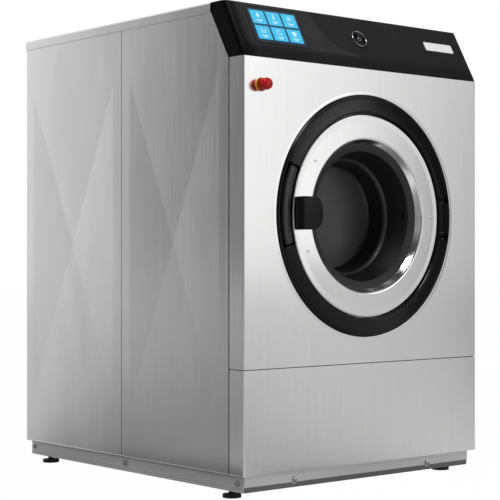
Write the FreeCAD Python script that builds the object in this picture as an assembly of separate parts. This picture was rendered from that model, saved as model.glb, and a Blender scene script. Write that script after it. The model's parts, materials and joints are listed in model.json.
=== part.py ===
import FreeCAD
import Part
import math
import os

V = FreeCAD.Vector
X_AXIS = V(1, 0, 0)
Y_AXIS = V(0, 1, 0)
Z_AXIS = V(0, 0, 1)

# Free-standing washer-extractor, sizes in millimetres.
# Every piece is drawn with y counted back from the face of the front panels and z up from the floor.
# The whole machine is then shifted so that the origin lies under the middle of its bounding box.

# Cabinet
CABINET_WIDTH = 850.0
CABINET_DEPTH = 1008.0
CABINET_HEIGHT = 1245.0
PANEL_BOTTOM = 62.0
SHEET = 1.5
SEAM_DROP = 387.0
SEAM_GAP = 2.0
FRONT_RETURN = 55.0
FRONT_BEND = 4.0
RETURN_GAP = 3.5
SIDE_SPLIT = 519.5
SIDE_SEAM = 1.0
SIDE_FLANGE = 26.0
BREAK_DEPTH = 1.6
BREAK_SIDE_INSET = 38.0
BREAK_END_INSET = 140.0
LID_SKIRT = 25.5
LID_OVERHANG = 2.5
LID_BEND = 4.0
REAR_INSET = 3.0
LOUVRE_COUNT = 7
LOUVRE_PITCH = 22.0
LOUVRE_LENGTH = 240.0
LOUVRE_HEIGHT = 8.0
LOUVRE_Z = 420.0

# Base frame and levelling feet
BASE_BOTTOM = 20.5
BASE_INSET = 16.0
BASE_FRONT_INSET = 17.0
RAIL_STEEL = 3.0
RAIL_FLANGE = 40.0
CROSS_RAIL_WIDTH = 40.0
STRIP_HEIGHT = 28.0
STRIP_SHEET = 2.0
STRIP_TAB_X = 244.0
STRIP_TAB_RADIUS = 9.0
FOOT_INSET = 41.0
FOOT_FRONT_Y = 95.0
FOOT_REAR_INSET = 68.0
PAD_RADIUS = 24.0
PAD_HEIGHT = 9.0
PAD_ROUND = 2.0
STEM_RADIUS = 8.0
STEM_TOP = 46.0
NUT_ACROSS_CORNERS = 27.0
NUT_HEIGHT = 13.0

# Inner frame
POST_WIDTH = 40.0
POST_STEEL = 3.0
POST_FRONT_Y = 130.0
POST_SIDE_GAP = 5.0
MID_POST_WIDTH = 44.0
TOP_RAIL_HEIGHT = 40.0
TOP_RAIL_DROP = 5.0
PLATE_Y = 36.0
PLATE_STEEL = 3.0
PLATE_MARGIN = 4.0
PLATE_HOLE_RADIUS = 208.0

# Console
CONSOLE_HEIGHT = 146.0
CONSOLE_LIP_HEIGHT = 23.0
CONSOLE_LIP_LEAN = 5.0
CONSOLE_FACE_RUN = 65.0
CONSOLE_EDGE_DROP = 4.0
CONSOLE_TOP_DEPTH = 126.0
CONSOLE_WALL = 3.0
CONSOLE_END_WALL = 12.0
CONSOLE_END_ROUND = 16.0
CONSOLE_REAR_GAP = 2.0
SCREEN_WIDTH = 174.0
SCREEN_HEIGHT = 108.0
SCREEN_THICKNESS = 4.0
SCREEN_INSET = 142.0
SCREEN_RISE = 73.5
BOARD_MARGIN = 10.0
BOARD_THICKNESS = 14.0
BUTTON_X = 5.0
BUTTON_RISE = 69.5
BUTTON_RADIUS = 20.0
BUTTON_PROUD = 3.0
BUTTON_STROKE = 3.0
BEZEL_RADIUS = 25.0
BEZEL_WALL = 2.2
BEZEL_PROUD = 2.5
SWITCH_DEPTH = 14.0

# Emergency stop
STOP_INSET = 56.0
STOP_DROP = 68.0
STOP_RING_RADIUS = 17.0
STOP_RING_HEIGHT = 3.0
STOP_NECK_RADIUS = 11.0
STOP_HEAD_RADIUS = 15.0
STOP_HEAD_HEIGHT = 24.5
STOP_REACH = 34.0
STOP_STEM_RADIUS = 8.0
STOP_STROKE = 5.0
STOP_SOCKET = 7.0
STOP_BLOCK_SIZE = 34.0
STOP_BLOCK_DEPTH = 30.0

# Door and its surround
DOOR_SHARE = 0.5328
DISH_MARGIN = 4.5
DISH_RADIUS = 323.5
DISH_DEPTH = 6.0
DISH_SLOPE = 7.2
DISH_LIP = 6.5
COLLAR_GAP = 0.8
COLLAR_INNER = 270.0
COLLAR_CROWN = 6.0
COLLAR_CROWN_RADIUS = 291.0
COLLAR_SET_BACK = 2.0
COLLAR_WALL = 3.0
POCKET_ABOVE = 25.5
POCKET_BELOW = 16.0
POCKET_DEPTH = 30.0
POCKET_WALL_ANGLE = 0.8
GRIP_INNER = 275.0
GRIP_WIDTH = 23.0
GRIP_THICKNESS = 12.0
GRIP_END_GAP_ANGLE = 1.0
GRIP_LUG_WIDTH = 14.0
GRIP_LUG_ROOT = 8.0
RING_OUTER = 266.0
RING_INNER = 200.0
RING_PROUD = 3.0
RING_RETURN = 8.0
RING_LIP = 21.0
LIP_LEAN = 10.0
BACK_RING_GAP = 4.0
BACK_RING_EDGE = 16.0
CLAMP_THICKNESS = 4.0
CLAMP_INNER = 184.0
SEAL_THICKNESS = 6.0
BOWL_MOUTH = 172.0
BOWL_WAIST = 155.0
BOWL_WAIST_Y = 81.0
BOWL_FLOOR_RADIUS = 143.0
BOWL_FLOOR_Y = 146.0
BOWL_WALL = 6.0
BOWL_STEP = 3.0
HANDLE_INNER = 192.0
HANDLE_OUTER = 258.0
HANDLE_HEIGHT = 83.0
HANDLE_REACH = 35.5
HANDLE_ROUND = 6.0

# Door hinge
HINGE_X = 296.0
HINGE_Y = 10.0
HINGE_PIN_RADIUS = 5.0
HINGE_EYE_RADIUS = 8.0
HINGE_ARM_Z = 50.0
HINGE_ARM_HEIGHT = 12.0
HINGE_ARM_THICKNESS = 8.0
HINGE_ARM_ROOT = 215.0
HINGE_LUG_THICKNESS = 8.0
HINGE_SIDE_GAP = 0.5
HINGE_FOOT_WIDTH = 26.0
HINGE_FOOT_THICKNESS = 5.0
HINGE_SLOT_ROOM = 1.5

# Door latch and lock
LATCH_X = 242.0
LATCH_THICKNESS = 8.0
LATCH_HEIGHT = 28.0
LATCH_ROOT = 6.0
LATCH_TIP_Y = 58.0
LATCH_HOLE_RADIUS = 5.5
LATCH_HOLE_Y = 50.0
LATCH_ROOM = 8.0
LOCK_WIDTH = 58.0
LOCK_HEIGHT = 60.0
LOCK_DEPTH = 29.0
LOCK_INNER_X = 226.0
BOLT_RADIUS = 4.0
BOLT_LENGTH = 27.0

# Tub, drum and drive
TUB_RADIUS = 370.0
TUB_WALL = 3.0
TUB_FRONT_Y = 92.0
TUB_BACK_ROOM = 368.0
TUB_BACK_WALL = 5.0
TUB_NECK_RADIUS = 218.0
TUB_NECK_LENGTH = 20.0
DRUM_RADIUS = 330.0
DRUM_WALL = 1.5
DRUM_FRONT_Y = 113.5
DRUM_BACK_GAP = 40.0
DRUM_MOUTH_RADIUS = 196.0
DRUM_MOUTH_LIP = 9.0
LIFTER_COUNT = 3
LIFTER_HEIGHT = 62.0
LIFTER_BASE = 110.0
LIFTER_CREST = 44.0
LIFTER_END_GAP = 53.25
SPIDER_THICKNESS = 24.0
SPIDER_ARM_WIDTH = 60.0
SPIDER_REACH = 300.0
SPIDER_HUB_RADIUS = 62.0
SHAFT_RADIUS = 30.0
SHAFT_STUB = 16.0
HOUSING_LENGTH = 125.0
HOUSING_RADIUS = 72.0
HOUSING_FLANGE_RADIUS = 150.0
HOUSING_FLANGE = 14.0
HOUSING_RIB = 12.0
HOUSING_RIB_COUNT = 6
BEARING_RADIUS = 55.0
BEARING_WIDTH = 28.0
BEARING_SETBACK = 8.0
DRUM_PULLEY_RADIUS = 230.0
PULLEY_WIDTH = 30.0
PULLEY_RIM = 14.0
PULLEY_HUB_RADIUS = 48.0
PULLEY_SPOKES = 5
PULLEY_SPOKE_WIDTH = 34.0
PULLEY_SETBACK = 152.0
BELT_WIDTH = 20.0
BELT_THICKNESS = 5.0
FLANGE_LIP = 4.0
MOTOR_PULLEY_RADIUS = 45.0
MOTOR_RADIUS = 74.0
MOTOR_HANG = 4.0
MOTOR_PULLEY_GAP = 22.0
MOTOR_FLOOR_GAP = 6.0
MOTOR_LENGTH = 225.0
MOTOR_FIN = 6.0
MOTOR_FIN_COUNT = 20
MOTOR_SHAFT_RADIUS = 14.0
MOTOR_FOOT_WIDTH = 120.0

# Suspension
CRADLE_GAP = 16.0
CRADLE_PLATE = 8.0
CRADLE_HALF_WIDTH = 345.0
CRADLE_WEB_HEIGHT = 145.0
CRADLE_RAIL_X = 105.0
CRADLE_RAIL_WIDTH = 30.0
CRADLE_RAIL_HEIGHT = 25.0
SEAT_SIZE = 80.0
SPRING_X = 305.0
SPRING_FRONT_Y = 180.0
SPRING_REAR_INSET = 40.0
SPRING_RADIUS = 28.0
SPRING_WIRE = 4.5
SPRING_TURNS = 6
DAMPER_X = 245.0
DAMPER_RADIUS = 20.0
DAMPER_LENGTH = 130.0
DAMPER_ROD_RADIUS = 9.0
DAMPER_WALL = 3.0
BOUNCE = 12.0
WEIGHT_INNER = 236.0
WEIGHT_OUTER = 360.0
WEIGHT_THICKNESS = 38.0
WEIGHT_SPREAD = 80.0

# Water and power
DRAIN_X = -170.0
DRAIN_Y = 400.0
DRAIN_Z = 150.0
DRAIN_RADIUS = 35.0
DRAIN_WALL = 3.0
DRAIN_REACH = 58.0
PIPE_FLANGE = 10.0
PIPE_FLANGE_THICKNESS = 4.0
SUMP_RADIUS = 34.0
SUMP_DROP = 12.6
VALVE_TOP = 232.0
VALVE_SIZE = 96.0
HOSE_WALL = 4.0
HOSE_RIBS = 5
HOSE_RIB_HEIGHT = 4.0
DISPENSER_X = -180.0
DISPENSER_WIDTH = 220.0
DISPENSER_LEAD = 50.0
DISPENSER_REAR_GAP = 73.5
FILL_INSET = 50.0
FILL_RADIUS = 26.0
FILL_NECK_RISE = 13.0
SPOUT_GAP = 8.0
INLET_PITCH = 70.0
INLET_DROP = 38.5
INLET_RADIUS = 13.2
INLET_WALL = 4.0
INLET_REACH = 24.0
INLET_BODY = 46.0
INVERTER_WIDTH = 260.0
INVERTER_HEIGHT = 250.0
INVERTER_DEPTH = 96.0
INVERTER_X = 225.0
INVERTER_REAR_GAP = 49.5
INVERTER_FINS = 9
INVERTER_FIN_DEPTH = 12.0
GLAND_X = 225.0
GLAND_Z = 380.0
GLAND_RADIUS = 13.0
GLAND_REACH = 26.0
GLAND_TAIL = 9.0
GLAND_NUT_RADIUS = 17.5
GLAND_NUT_HEIGHT = 8.0
GLAND_BORE = 6.0

# Clearances
CURVED_GAP = 0.3
RUNNING_GAP = 0.08
SLIDE_GAP = 0.3
PANEL_HOLE_GAP = 1.0

# Sizes that follow from the ones above
HALF_WIDTH = CABINET_WIDTH / 2
RAIL_OUTER = HALF_WIDTH - BASE_INSET
RAIL_INNER = RAIL_OUTER - RAIL_FLANGE
RAIL_FRONT_Y = BASE_FRONT_INSET + STRIP_SHEET
RAIL_BACK_Y = CABINET_DEPTH - REAR_INSET
REAR_PANEL_Y = CABINET_DEPTH - REAR_INSET - SHEET
POST_OUTER = HALF_WIDTH - POST_SIDE_GAP
LID_UNDER = CABINET_HEIGHT - SHEET
POST_TOP = LID_UNDER - TOP_RAIL_DROP
TOP_RAIL_BOTTOM = POST_TOP - TOP_RAIL_HEIGHT
CONSOLE_BOTTOM = CABINET_HEIGHT - CONSOLE_HEIGHT
CONSOLE_CREASE = CONSOLE_BOTTOM + CONSOLE_LIP_HEIGHT
CONSOLE_EDGE_Y = CONSOLE_LIP_LEAN + CONSOLE_FACE_RUN
CONSOLE_EDGE_Z = CABINET_HEIGHT - CONSOLE_EDGE_DROP
FACE_RISE = CONSOLE_EDGE_Z - CONSOLE_CREASE
FACE_TILT = math.degrees(math.atan2(FACE_RISE, CONSOLE_FACE_RUN))
FOOT_REAR_Y = CABINET_DEPTH - FOOT_REAR_INSET
SCREEN_X = SCREEN_INSET - HALF_WIDTH
STOP_Z = CONSOLE_BOTTOM - STOP_DROP
# The door and the tub sit between the lowest place over the motor and the highest place under the console.
MOTOR_REACH = MOTOR_RADIUS + MOTOR_FIN
MOTOR_LOWEST = PANEL_BOTTOM + BOUNCE + MOTOR_FLOOR_GAP + MOTOR_REACH
CRADLE_OVER_MOTOR = MOTOR_REACH + MOTOR_HANG + 2 * CRADLE_PLATE
DOOR_LOWEST = MOTOR_LOWEST + CRADLE_OVER_MOTOR + CRADLE_GAP + TUB_RADIUS
DOOR_HIGHEST = CONSOLE_BOTTOM - DISH_MARGIN - DISH_RADIUS
DOOR_Z = DOOR_LOWEST + (DOOR_HIGHEST - DOOR_LOWEST) * DOOR_SHARE
CRADLE_Z = DOOR_Z - TUB_RADIUS - CRADLE_GAP
CRADLE_TOP = CRADLE_Z + CRADLE_WEB_HEIGHT
MOTOR_Z = CRADLE_Z - CRADLE_OVER_MOTOR
SUMP_BOTTOM = DOOR_Z - TUB_RADIUS - SUMP_DROP
SEAM_HEIGHT = DOOR_Z - SEAM_DROP
UPPER_BOTTOM = SEAM_HEIGHT + SEAM_GAP / 2
LOWER_TOP = SEAM_HEIGHT - SEAM_GAP / 2
TUB_BACK_Y = CABINET_DEPTH - TUB_BACK_ROOM
DRUM_BACK_Y = TUB_BACK_Y - DRUM_BACK_GAP
LIFTER_LENGTH = DRUM_BACK_Y - DRUM_FRONT_Y - 2 * LIFTER_END_GAP
PULLEY_Y = TUB_BACK_Y + PULLEY_SETBACK
SHAFT_END_Y = PULLEY_Y + PULLEY_WIDTH + SHAFT_STUB
MOTOR_FRONT_Y = PULLEY_Y - MOTOR_PULLEY_GAP - MOTOR_LENGTH
SPRING_REAR_Y = TUB_BACK_Y - SPRING_REAR_INSET
FILL_Y = TUB_BACK_Y - FILL_INSET
FILL_HOSE_OUTER = FILL_RADIUS + CURVED_GAP + HOSE_WALL + HOSE_RIB_HEIGHT
FILL_CROWN = DOOR_Z + math.sqrt(TUB_RADIUS ** 2 - (abs(DISPENSER_X) - FILL_HOSE_OUTER) ** 2)
FILL_NECK_TOP = FILL_CROWN + FILL_NECK_RISE
DISPENSER_FRONT_Y = FILL_Y - DISPENSER_LEAD
DISPENSER_BACK_Y = REAR_PANEL_Y - DISPENSER_REAR_GAP
DISPENSER_BOTTOM = FILL_NECK_TOP + BOUNCE + SPOUT_GAP + FILL_RADIUS
INLET_Z = TOP_RAIL_BOTTOM - INLET_DROP
INVERTER_Y = REAR_PANEL_Y - INVERTER_REAR_GAP - INVERTER_DEPTH
DISH_INNER = DISH_RADIUS - DISH_SLOPE
COLLAR_OUTER = DISH_INNER - COLLAR_GAP
RING_BACK_Y = SHEET - RING_PROUD
SEAL_Y = RING_LIP - RING_PROUD
BOWL_RIM_Y = SEAL_Y + SEAL_THICKNESS
CLAMP_Y = BOWL_RIM_Y + BOWL_WALL
LIP_OUTER = RING_INNER + SHEET
BACK_RING_OUTER = RING_OUTER - BACK_RING_GAP
STOP_X = STOP_INSET - HALF_WIDTH
PLATE_BACK_Y = PLATE_Y + PLATE_STEEL
PLATE_LOW = UPPER_BOTTOM + SHEET + PLATE_MARGIN
PLATE_HIGH = CONSOLE_BOTTOM - SHEET - PLATE_MARGIN
FRONT_REACH = max(HANDLE_REACH, STOP_REACH)
REAR_REACH = max(DRAIN_REACH, INLET_REACH, GLAND_REACH)
FRONT_Y = FRONT_REACH - (FRONT_REACH + CABINET_DEPTH + REAR_REACH) / 2


# Drawing helpers
def box(x0, x1, y0, y1, z0, z1):
    return Part.makeBox(x1 - x0, y1 - y0, z1 - z0, V(x0, y0, z0))


def rod_x(radius, x0, x1, y, z):
    return Part.makeCylinder(radius, x1 - x0, V(x0, y, z), X_AXIS)


def rod_y(radius, y0, y1, x, z):
    return Part.makeCylinder(radius, y1 - y0, V(x, y0, z), Y_AXIS)


def rod_z(radius, z0, z1, x, y):
    return Part.makeCylinder(radius, z1 - z0, V(x, y, z0), Z_AXIS)


def tube_y(inner, outer, y0, y1, x, z):
    return rod_y(outer, y0, y1, x, z).cut(rod_y(inner, y0, y1, x, z))


def tube_z(inner, outer, z0, z1, x, y):
    return rod_z(outer, z0, z1, x, y).cut(rod_z(inner, z0, z1, x, y))


def flat(points):
    return Part.Face(Part.makePolygon(points + [points[0]]))


def prism_x(profile, x0, x1):
    return flat([V(x0, y, z) for y, z in profile]).extrude(V(x1 - x0, 0, 0))


def prism_y(profile, y0, y1):
    return flat([V(x, y0, z) for x, z in profile]).extrude(V(0, y1 - y0, 0))


def turned(profile, x=0.0, z=DOOR_Z):
    face = flat([V(x + r, y, z) for r, y in profile])
    return face.revolve(V(x, 0, z), Y_AXIS, 360)


def turned_sector(profile, start, end):
    face = flat([V(r, y, DOOR_Z) for r, y in profile])
    face.rotate(V(0, 0, DOOR_Z), -Y_AXIS, start)
    return face.revolve(V(0, 0, DOOR_Z), -Y_AXIS, end - start)


def sector(inner, outer, start, end, y0, y1):
    return turned_sector([(inner, y0), (outer, y0), (outer, y1), (inner, y1)], start, end)


def around(shape, angle, z=DOOR_Z):
    copy = shape.copy()
    copy.rotate(V(0, 0, z), -Y_AXIS, angle)
    return copy


def mirrored(shape):
    return shape.mirror(V(0, 0, 0), X_AXIS)


def mirrored_pair(shape):
    return [shape, mirrored(shape)]


def joined(first, *others):
    return first.fuse(list(others)).removeSplitter()


def rounded(shape, radius, chosen):
    return shape.makeFillet(radius, [edge for edge in shape.Edges if chosen(edge)])


def upright(edge):
    first = edge.Vertexes[0].Point
    last = edge.Vertexes[-1].Point
    return abs(first.x - last.x) < 1e-6 and abs(first.y - last.y) < 1e-6 and abs(first.z - last.z) > 1e-6


def on_console_face(shape):
    turn = FreeCAD.Rotation(X_AXIS, FACE_TILT)
    shape.Placement = FreeCAD.Placement(V(0, CONSOLE_LIP_LEAN, CONSOLE_CREASE), turn).multiply(shape.Placement)
    return shape


def save(node, *solids):
    group = Part.makeCompound([solid.copy() for solid in solids])
    group.translate(V(0, FRONT_Y, 0))
    group.exportStep("parts/" + node + ".step")


# Base frame
def cross_rail_rows():
    return [
        RAIL_FRONT_Y + CROSS_RAIL_WIDTH / 2,
        SPRING_FRONT_Y,
        DRAIN_Y,
        SPRING_REAR_Y,
        INVERTER_Y + INVERTER_DEPTH / 2,
        RAIL_BACK_Y - CROSS_RAIL_WIDTH / 2,
    ]


def foot_places():
    foot_x = HALF_WIDTH - FOOT_INSET
    return {
        "foot_front_left": (-foot_x, FOOT_FRONT_Y),
        "foot_front_right": (foot_x, FOOT_FRONT_Y),
        "foot_rear_left": (-foot_x, FOOT_REAR_Y),
        "foot_rear_right": (foot_x, FOOT_REAR_Y),
    }


def base_side_rails():
    top = PANEL_BOTTOM
    web = RAIL_OUTER - RAIL_STEEL
    profile = [
        (RAIL_OUTER, BASE_BOTTOM),
        (RAIL_OUTER, top),
        (RAIL_INNER, top),
        (RAIL_INNER, top - RAIL_STEEL),
        (web, top - RAIL_STEEL),
        (web, BASE_BOTTOM + RAIL_STEEL),
        (RAIL_INNER, BASE_BOTTOM + RAIL_STEEL),
        (RAIL_INNER, BASE_BOTTOM),
    ]
    rail = prism_y(profile, RAIL_FRONT_Y, RAIL_BACK_Y)
    for x, y in foot_places().values():
        if x > 0:
            rail = rail.cut(rod_z(STEM_RADIUS + SLIDE_GAP, BASE_BOTTOM, BASE_BOTTOM + RAIL_STEEL, x, y))
    return mirrored_pair(rail)


def base_cross_rails():
    rails = []
    for y in cross_rail_rows():
        y0 = y - CROSS_RAIL_WIDTH / 2
        y1 = y + CROSS_RAIL_WIDTH / 2
        outer = box(-RAIL_INNER, RAIL_INNER, y0, y1, BASE_BOTTOM, PANEL_BOTTOM)
        roof = PANEL_BOTTOM - RAIL_STEEL
        hollow = box(-RAIL_INNER, RAIL_INNER, y0 + RAIL_STEEL, y1 - RAIL_STEEL, BASE_BOTTOM, roof)
        rails.append(outer.cut(hollow))
    return rails


def base_front_strip():
    y0 = BASE_FRONT_INSET
    y1 = BASE_FRONT_INSET + STRIP_SHEET
    bottom = PANEL_BOTTOM - STRIP_HEIGHT
    strip = box(-RAIL_OUTER, RAIL_OUTER, y0, y1, bottom, PANEL_BOTTOM)
    tab_z = bottom + STRIP_TAB_RADIUS / 2
    tabs = [rod_y(STRIP_TAB_RADIUS, y0, y1, x, tab_z) for x in (-STRIP_TAB_X, STRIP_TAB_X)]
    save("base_front_strip", joined(strip, *tabs))


def feet():
    for node, (x, y) in foot_places().items():
        pad = rod_z(PAD_RADIUS, 0, PAD_HEIGHT, x, y)
        pad = rounded(pad, PAD_ROUND, lambda edge: edge.Length > 1.9 * math.pi * PAD_RADIUS)
        stem = rod_z(STEM_RADIUS, PAD_HEIGHT, STEM_TOP, x, y)
        save(node, joined(pad, stem))


def foot_nuts():
    nuts = []
    bottom = BASE_BOTTOM + RAIL_STEEL
    for x, y in foot_places().values():
        corners = []
        for step in range(6):
            turn = math.radians(60 * step)
            radius = NUT_ACROSS_CORNERS / 2
            corners.append(V(x + radius * math.cos(turn), y + radius * math.sin(turn), bottom))
        nut = flat(corners).extrude(V(0, 0, NUT_HEIGHT))
        nuts.append(nut.cut(rod_z(STEM_RADIUS + RUNNING_GAP, bottom, bottom + NUT_HEIGHT, x, y)))
    return nuts


def base_frame():
    save("base_frame", *base_side_rails(), *base_cross_rails(), *foot_nuts())


# Inner frame
def frame_posts():
    posts = []
    inner = POST_OUTER - POST_WIDTH
    front_y1 = POST_FRONT_Y + POST_WIDTH
    rear_y0 = REAR_PANEL_Y - POST_WIDTH
    front = joined(
        box(inner, POST_OUTER, POST_FRONT_Y, POST_FRONT_Y + POST_STEEL, PANEL_BOTTOM, POST_TOP),
        box(POST_OUTER - POST_STEEL, POST_OUTER, POST_FRONT_Y, front_y1, PANEL_BOTTOM, POST_TOP),
    )
    rear = joined(
        box(inner, POST_OUTER, REAR_PANEL_Y - POST_STEEL, REAR_PANEL_Y, PANEL_BOTTOM, POST_TOP),
        box(POST_OUTER - POST_STEEL, POST_OUTER, rear_y0, REAR_PANEL_Y, PANEL_BOTTOM, POST_TOP),
    )
    posts.extend(mirrored_pair(front))
    posts.extend(mirrored_pair(rear))
    return posts


def top_rails():
    inner = POST_OUTER - POST_STEEL
    y0 = POST_FRONT_Y + POST_STEEL
    y1 = REAR_PANEL_Y - POST_STEEL
    side = joined(
        box(inner - POST_STEEL, inner, y0, y1, TOP_RAIL_BOTTOM, POST_TOP),
        box(inner - POST_WIDTH, inner, y0, y1, POST_TOP - POST_STEEL, POST_TOP),
    )
    cross_end = inner - POST_STEEL
    rows = [DISPENSER_FRONT_Y + POST_WIDTH, DISPENSER_BACK_Y - POST_WIDTH]
    crosses = []
    for y in rows:
        crosses.append(box(-cross_end, cross_end, y, y + POST_STEEL, TOP_RAIL_BOTTOM, POST_TOP - POST_STEEL))
    return mirrored_pair(side) + crosses


def seam_backings():
    web = POST_OUTER - POST_STEEL
    low = PANEL_BOTTOM + SHEET
    half = MID_POST_WIDTH / 2
    mid_post = box(web, POST_OUTER, SIDE_SPLIT - half, SIDE_SPLIT + half, low, POST_TOP)
    corner_strip = box(web, POST_OUTER, FRONT_RETURN + CURVED_GAP, POST_FRONT_Y, low, PLATE_LOW)
    return mirrored_pair(mid_post) + mirrored_pair(corner_strip)


def inner_frame():
    save("inner_frame", *frame_posts(), *top_rails(), *seam_backings())


def front_frame_plate():
    edge = POST_OUTER
    low = PLATE_LOW
    high = PLATE_HIGH
    plate = box(-edge, edge, PLATE_Y, PLATE_BACK_Y, low, high)
    flange = box(edge - PLATE_STEEL, edge, PLATE_BACK_Y, POST_FRONT_Y, low, high)
    top_lip = box(-edge, edge, SHEET, PLATE_Y, high - PLATE_STEEL, high)
    low_lip = box(-edge, edge, SHEET, PLATE_Y, low, low + PLATE_STEEL)
    plate = joined(plate, flange, mirrored(flange), top_lip, low_lip)
    plate = plate.cut(rod_y(PLATE_HOLE_RADIUS, PLATE_Y, PLATE_BACK_Y, 0, DOOR_Z))
    room = LATCH_THICKNESS / 2 + LATCH_ROOM
    reach = LATCH_HEIGHT / 2 + LATCH_ROOM / 2
    slot = box(-LATCH_X - room, -LATCH_X + room, PLATE_Y, PLATE_BACK_Y, DOOR_Z - reach, DOOR_Z + reach)
    save("front_frame_plate", plate.cut(slot))


# Casing
def cross_break(y0, y1, z0, z1, face_x):
    corners = [V(face_x, y0, z0), V(face_x, y1, z0), V(face_x, y1, z1), V(face_x, y0, z1)]
    apex = V(face_x - BREAK_DEPTH, (y0 + y1) / 2, (z0 + z1) / 2)
    faces = [flat(corners)]
    for step in range(4):
        faces.append(flat([corners[step], corners[(step + 1) % 4], apex]))
    solid = Part.Solid(Part.Shell(faces))
    if solid.Volume < 0:
        solid.reverse()
    return solid


def side_panel(outline, y0, y1):
    inner = HALF_WIDTH - SHEET
    panel = prism_x(outline, inner, HALF_WIDTH)
    break_y0 = y0 + BREAK_SIDE_INSET
    break_y1 = y1 - BREAK_SIDE_INSET
    break_z0 = PANEL_BOTTOM + BREAK_END_INSET
    break_z1 = CABINET_HEIGHT - LID_SKIRT - BREAK_END_INSET
    panel = panel.fuse(cross_break(break_y0, break_y1, break_z0, break_z1, inner))
    panel = panel.cut(cross_break(break_y0, break_y1, break_z0, break_z1, HALF_WIDTH))
    flange_x = HALF_WIDTH - SIDE_FLANGE
    top_y0 = max(y0, CONSOLE_TOP_DEPTH + CONSOLE_REAR_GAP)
    flange_y1 = min(y1, REAR_PANEL_Y)
    foot = box(flange_x, inner, y0, flange_y1, PANEL_BOTTOM, PANEL_BOTTOM + SHEET)
    head = box(flange_x, inner, top_y0, flange_y1, LID_UNDER - SHEET, LID_UNDER)

    def upper_bend(edge):
        reach = edge.BoundBox
        return reach.XMin > HALF_WIDTH - 1e-6 and reach.ZMin > LID_UNDER - 1e-6

    return rounded(joined(panel, foot, head), SHEET, upper_bend)


def side_panels():
    front_y0 = FRONT_RETURN + RETURN_GAP
    front_y1 = SIDE_SPLIT - SIDE_SEAM
    rear_y0 = SIDE_SPLIT + SIDE_SEAM
    rear_y1 = CABINET_DEPTH
    shoulder = CONSOLE_TOP_DEPTH + CONSOLE_REAR_GAP
    skirt = CABINET_HEIGHT - LID_SKIRT
    front_outline = [
        (front_y0, PANEL_BOTTOM),
        (front_y1, PANEL_BOTTOM),
        (front_y1, LID_UNDER),
        (shoulder, LID_UNDER),
        (shoulder, skirt),
        (front_y0, CONSOLE_BOTTOM),
    ]
    rear_outline = [
        (rear_y0, PANEL_BOTTOM),
        (rear_y1, PANEL_BOTTOM),
        (rear_y1, LID_UNDER - SHEET),
        (rear_y1 - SHEET, LID_UNDER),
        (rear_y0, LID_UNDER),
    ]
    front = side_panel(front_outline, front_y0, front_y1)
    rear = side_panel(rear_outline, rear_y0, rear_y1)
    post = POST_OUTER - POST_WIDTH
    foot_top = PANEL_BOTTOM + SHEET
    front = front.cut(box(post, POST_OUTER, POST_FRONT_Y, POST_FRONT_Y + POST_WIDTH, PANEL_BOTTOM, foot_top))
    rear = rear.cut(box(post, POST_OUTER, REAR_PANEL_Y - POST_WIDTH, rear_y1, PANEL_BOTTOM, foot_top))
    save("side_panel_front_right", front)
    save("side_panel_front_left", mirrored(front))
    save("side_panel_rear_right", rear)
    save("side_panel_rear_left", mirrored(rear))


def front_tray(z0, z1):
    outer = box(-HALF_WIDTH, HALF_WIDTH, 0, FRONT_RETURN, z0, z1)
    outer = rounded(outer, FRONT_BEND, lambda edge: upright(edge) and edge.Vertexes[0].Point.y < SHEET)
    inner_x = HALF_WIDTH - SHEET
    inner = box(-inner_x, inner_x, SHEET, FRONT_RETURN, z0 + SHEET, z1 - SHEET)
    bend = FRONT_BEND - SHEET
    inner = rounded(inner, bend, lambda edge: upright(edge) and edge.Vertexes[0].Point.y < 2 * SHEET)
    return outer.cut(inner)


def front_panel_upper():
    panel = front_tray(UPPER_BOTTOM, CONSOLE_BOTTOM)
    panel = panel.cut(rod_y(DISH_RADIUS, 0, SHEET, 0, DOOR_Z))
    lip_y = DISH_DEPTH + DISH_LIP
    dish = turned([
        (DISH_RADIUS, 0),
        (DISH_INNER, DISH_DEPTH),
        (DISH_INNER, lip_y),
        (DISH_INNER + SHEET, lip_y),
        (DISH_INNER + SHEET, DISH_DEPTH + SHEET * 0.7),
        (DISH_RADIUS, SHEET),
    ])
    panel = joined(panel, dish)
    panel = panel.cut(rod_y(STOP_NECK_RADIUS + CURVED_GAP, 0, SHEET, STOP_X, STOP_Z))
    save("front_panel_upper", panel)


def front_panel_lower():
    save("front_panel_lower", front_tray(PANEL_BOTTOM, LOWER_TOP))


def top_lid():
    side = HALF_WIDTH + LID_OVERHANG
    front = CONSOLE_TOP_DEPTH + CONSOLE_REAR_GAP
    back = CABINET_DEPTH + LID_OVERHANG
    low = CABINET_HEIGHT - LID_SKIRT
    lid = box(-side, side, front, back, low, CABINET_HEIGHT)

    def upper_rim(edge):
        middle = edge.BoundBox.Center
        return middle.z > CABINET_HEIGHT - 1e-6 and middle.y > front + 1e-6

    lid = rounded(lid, LID_BEND, upper_rim)
    hollow = box(-side + SHEET, side - SHEET, front, back - SHEET, low, CABINET_HEIGHT - SHEET)

    def inner_rim(edge):
        return edge.BoundBox.ZMin > LID_UNDER - 1e-6 and edge.BoundBox.Center.y > front + 1e-6

    hollow = rounded(hollow, LID_BEND - SHEET, inner_rim)
    save("top_lid", lid.cut(hollow))


def inlet_columns():
    return [DISPENSER_X + INLET_PITCH * step for step in (-1, 0, 1)]


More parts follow.
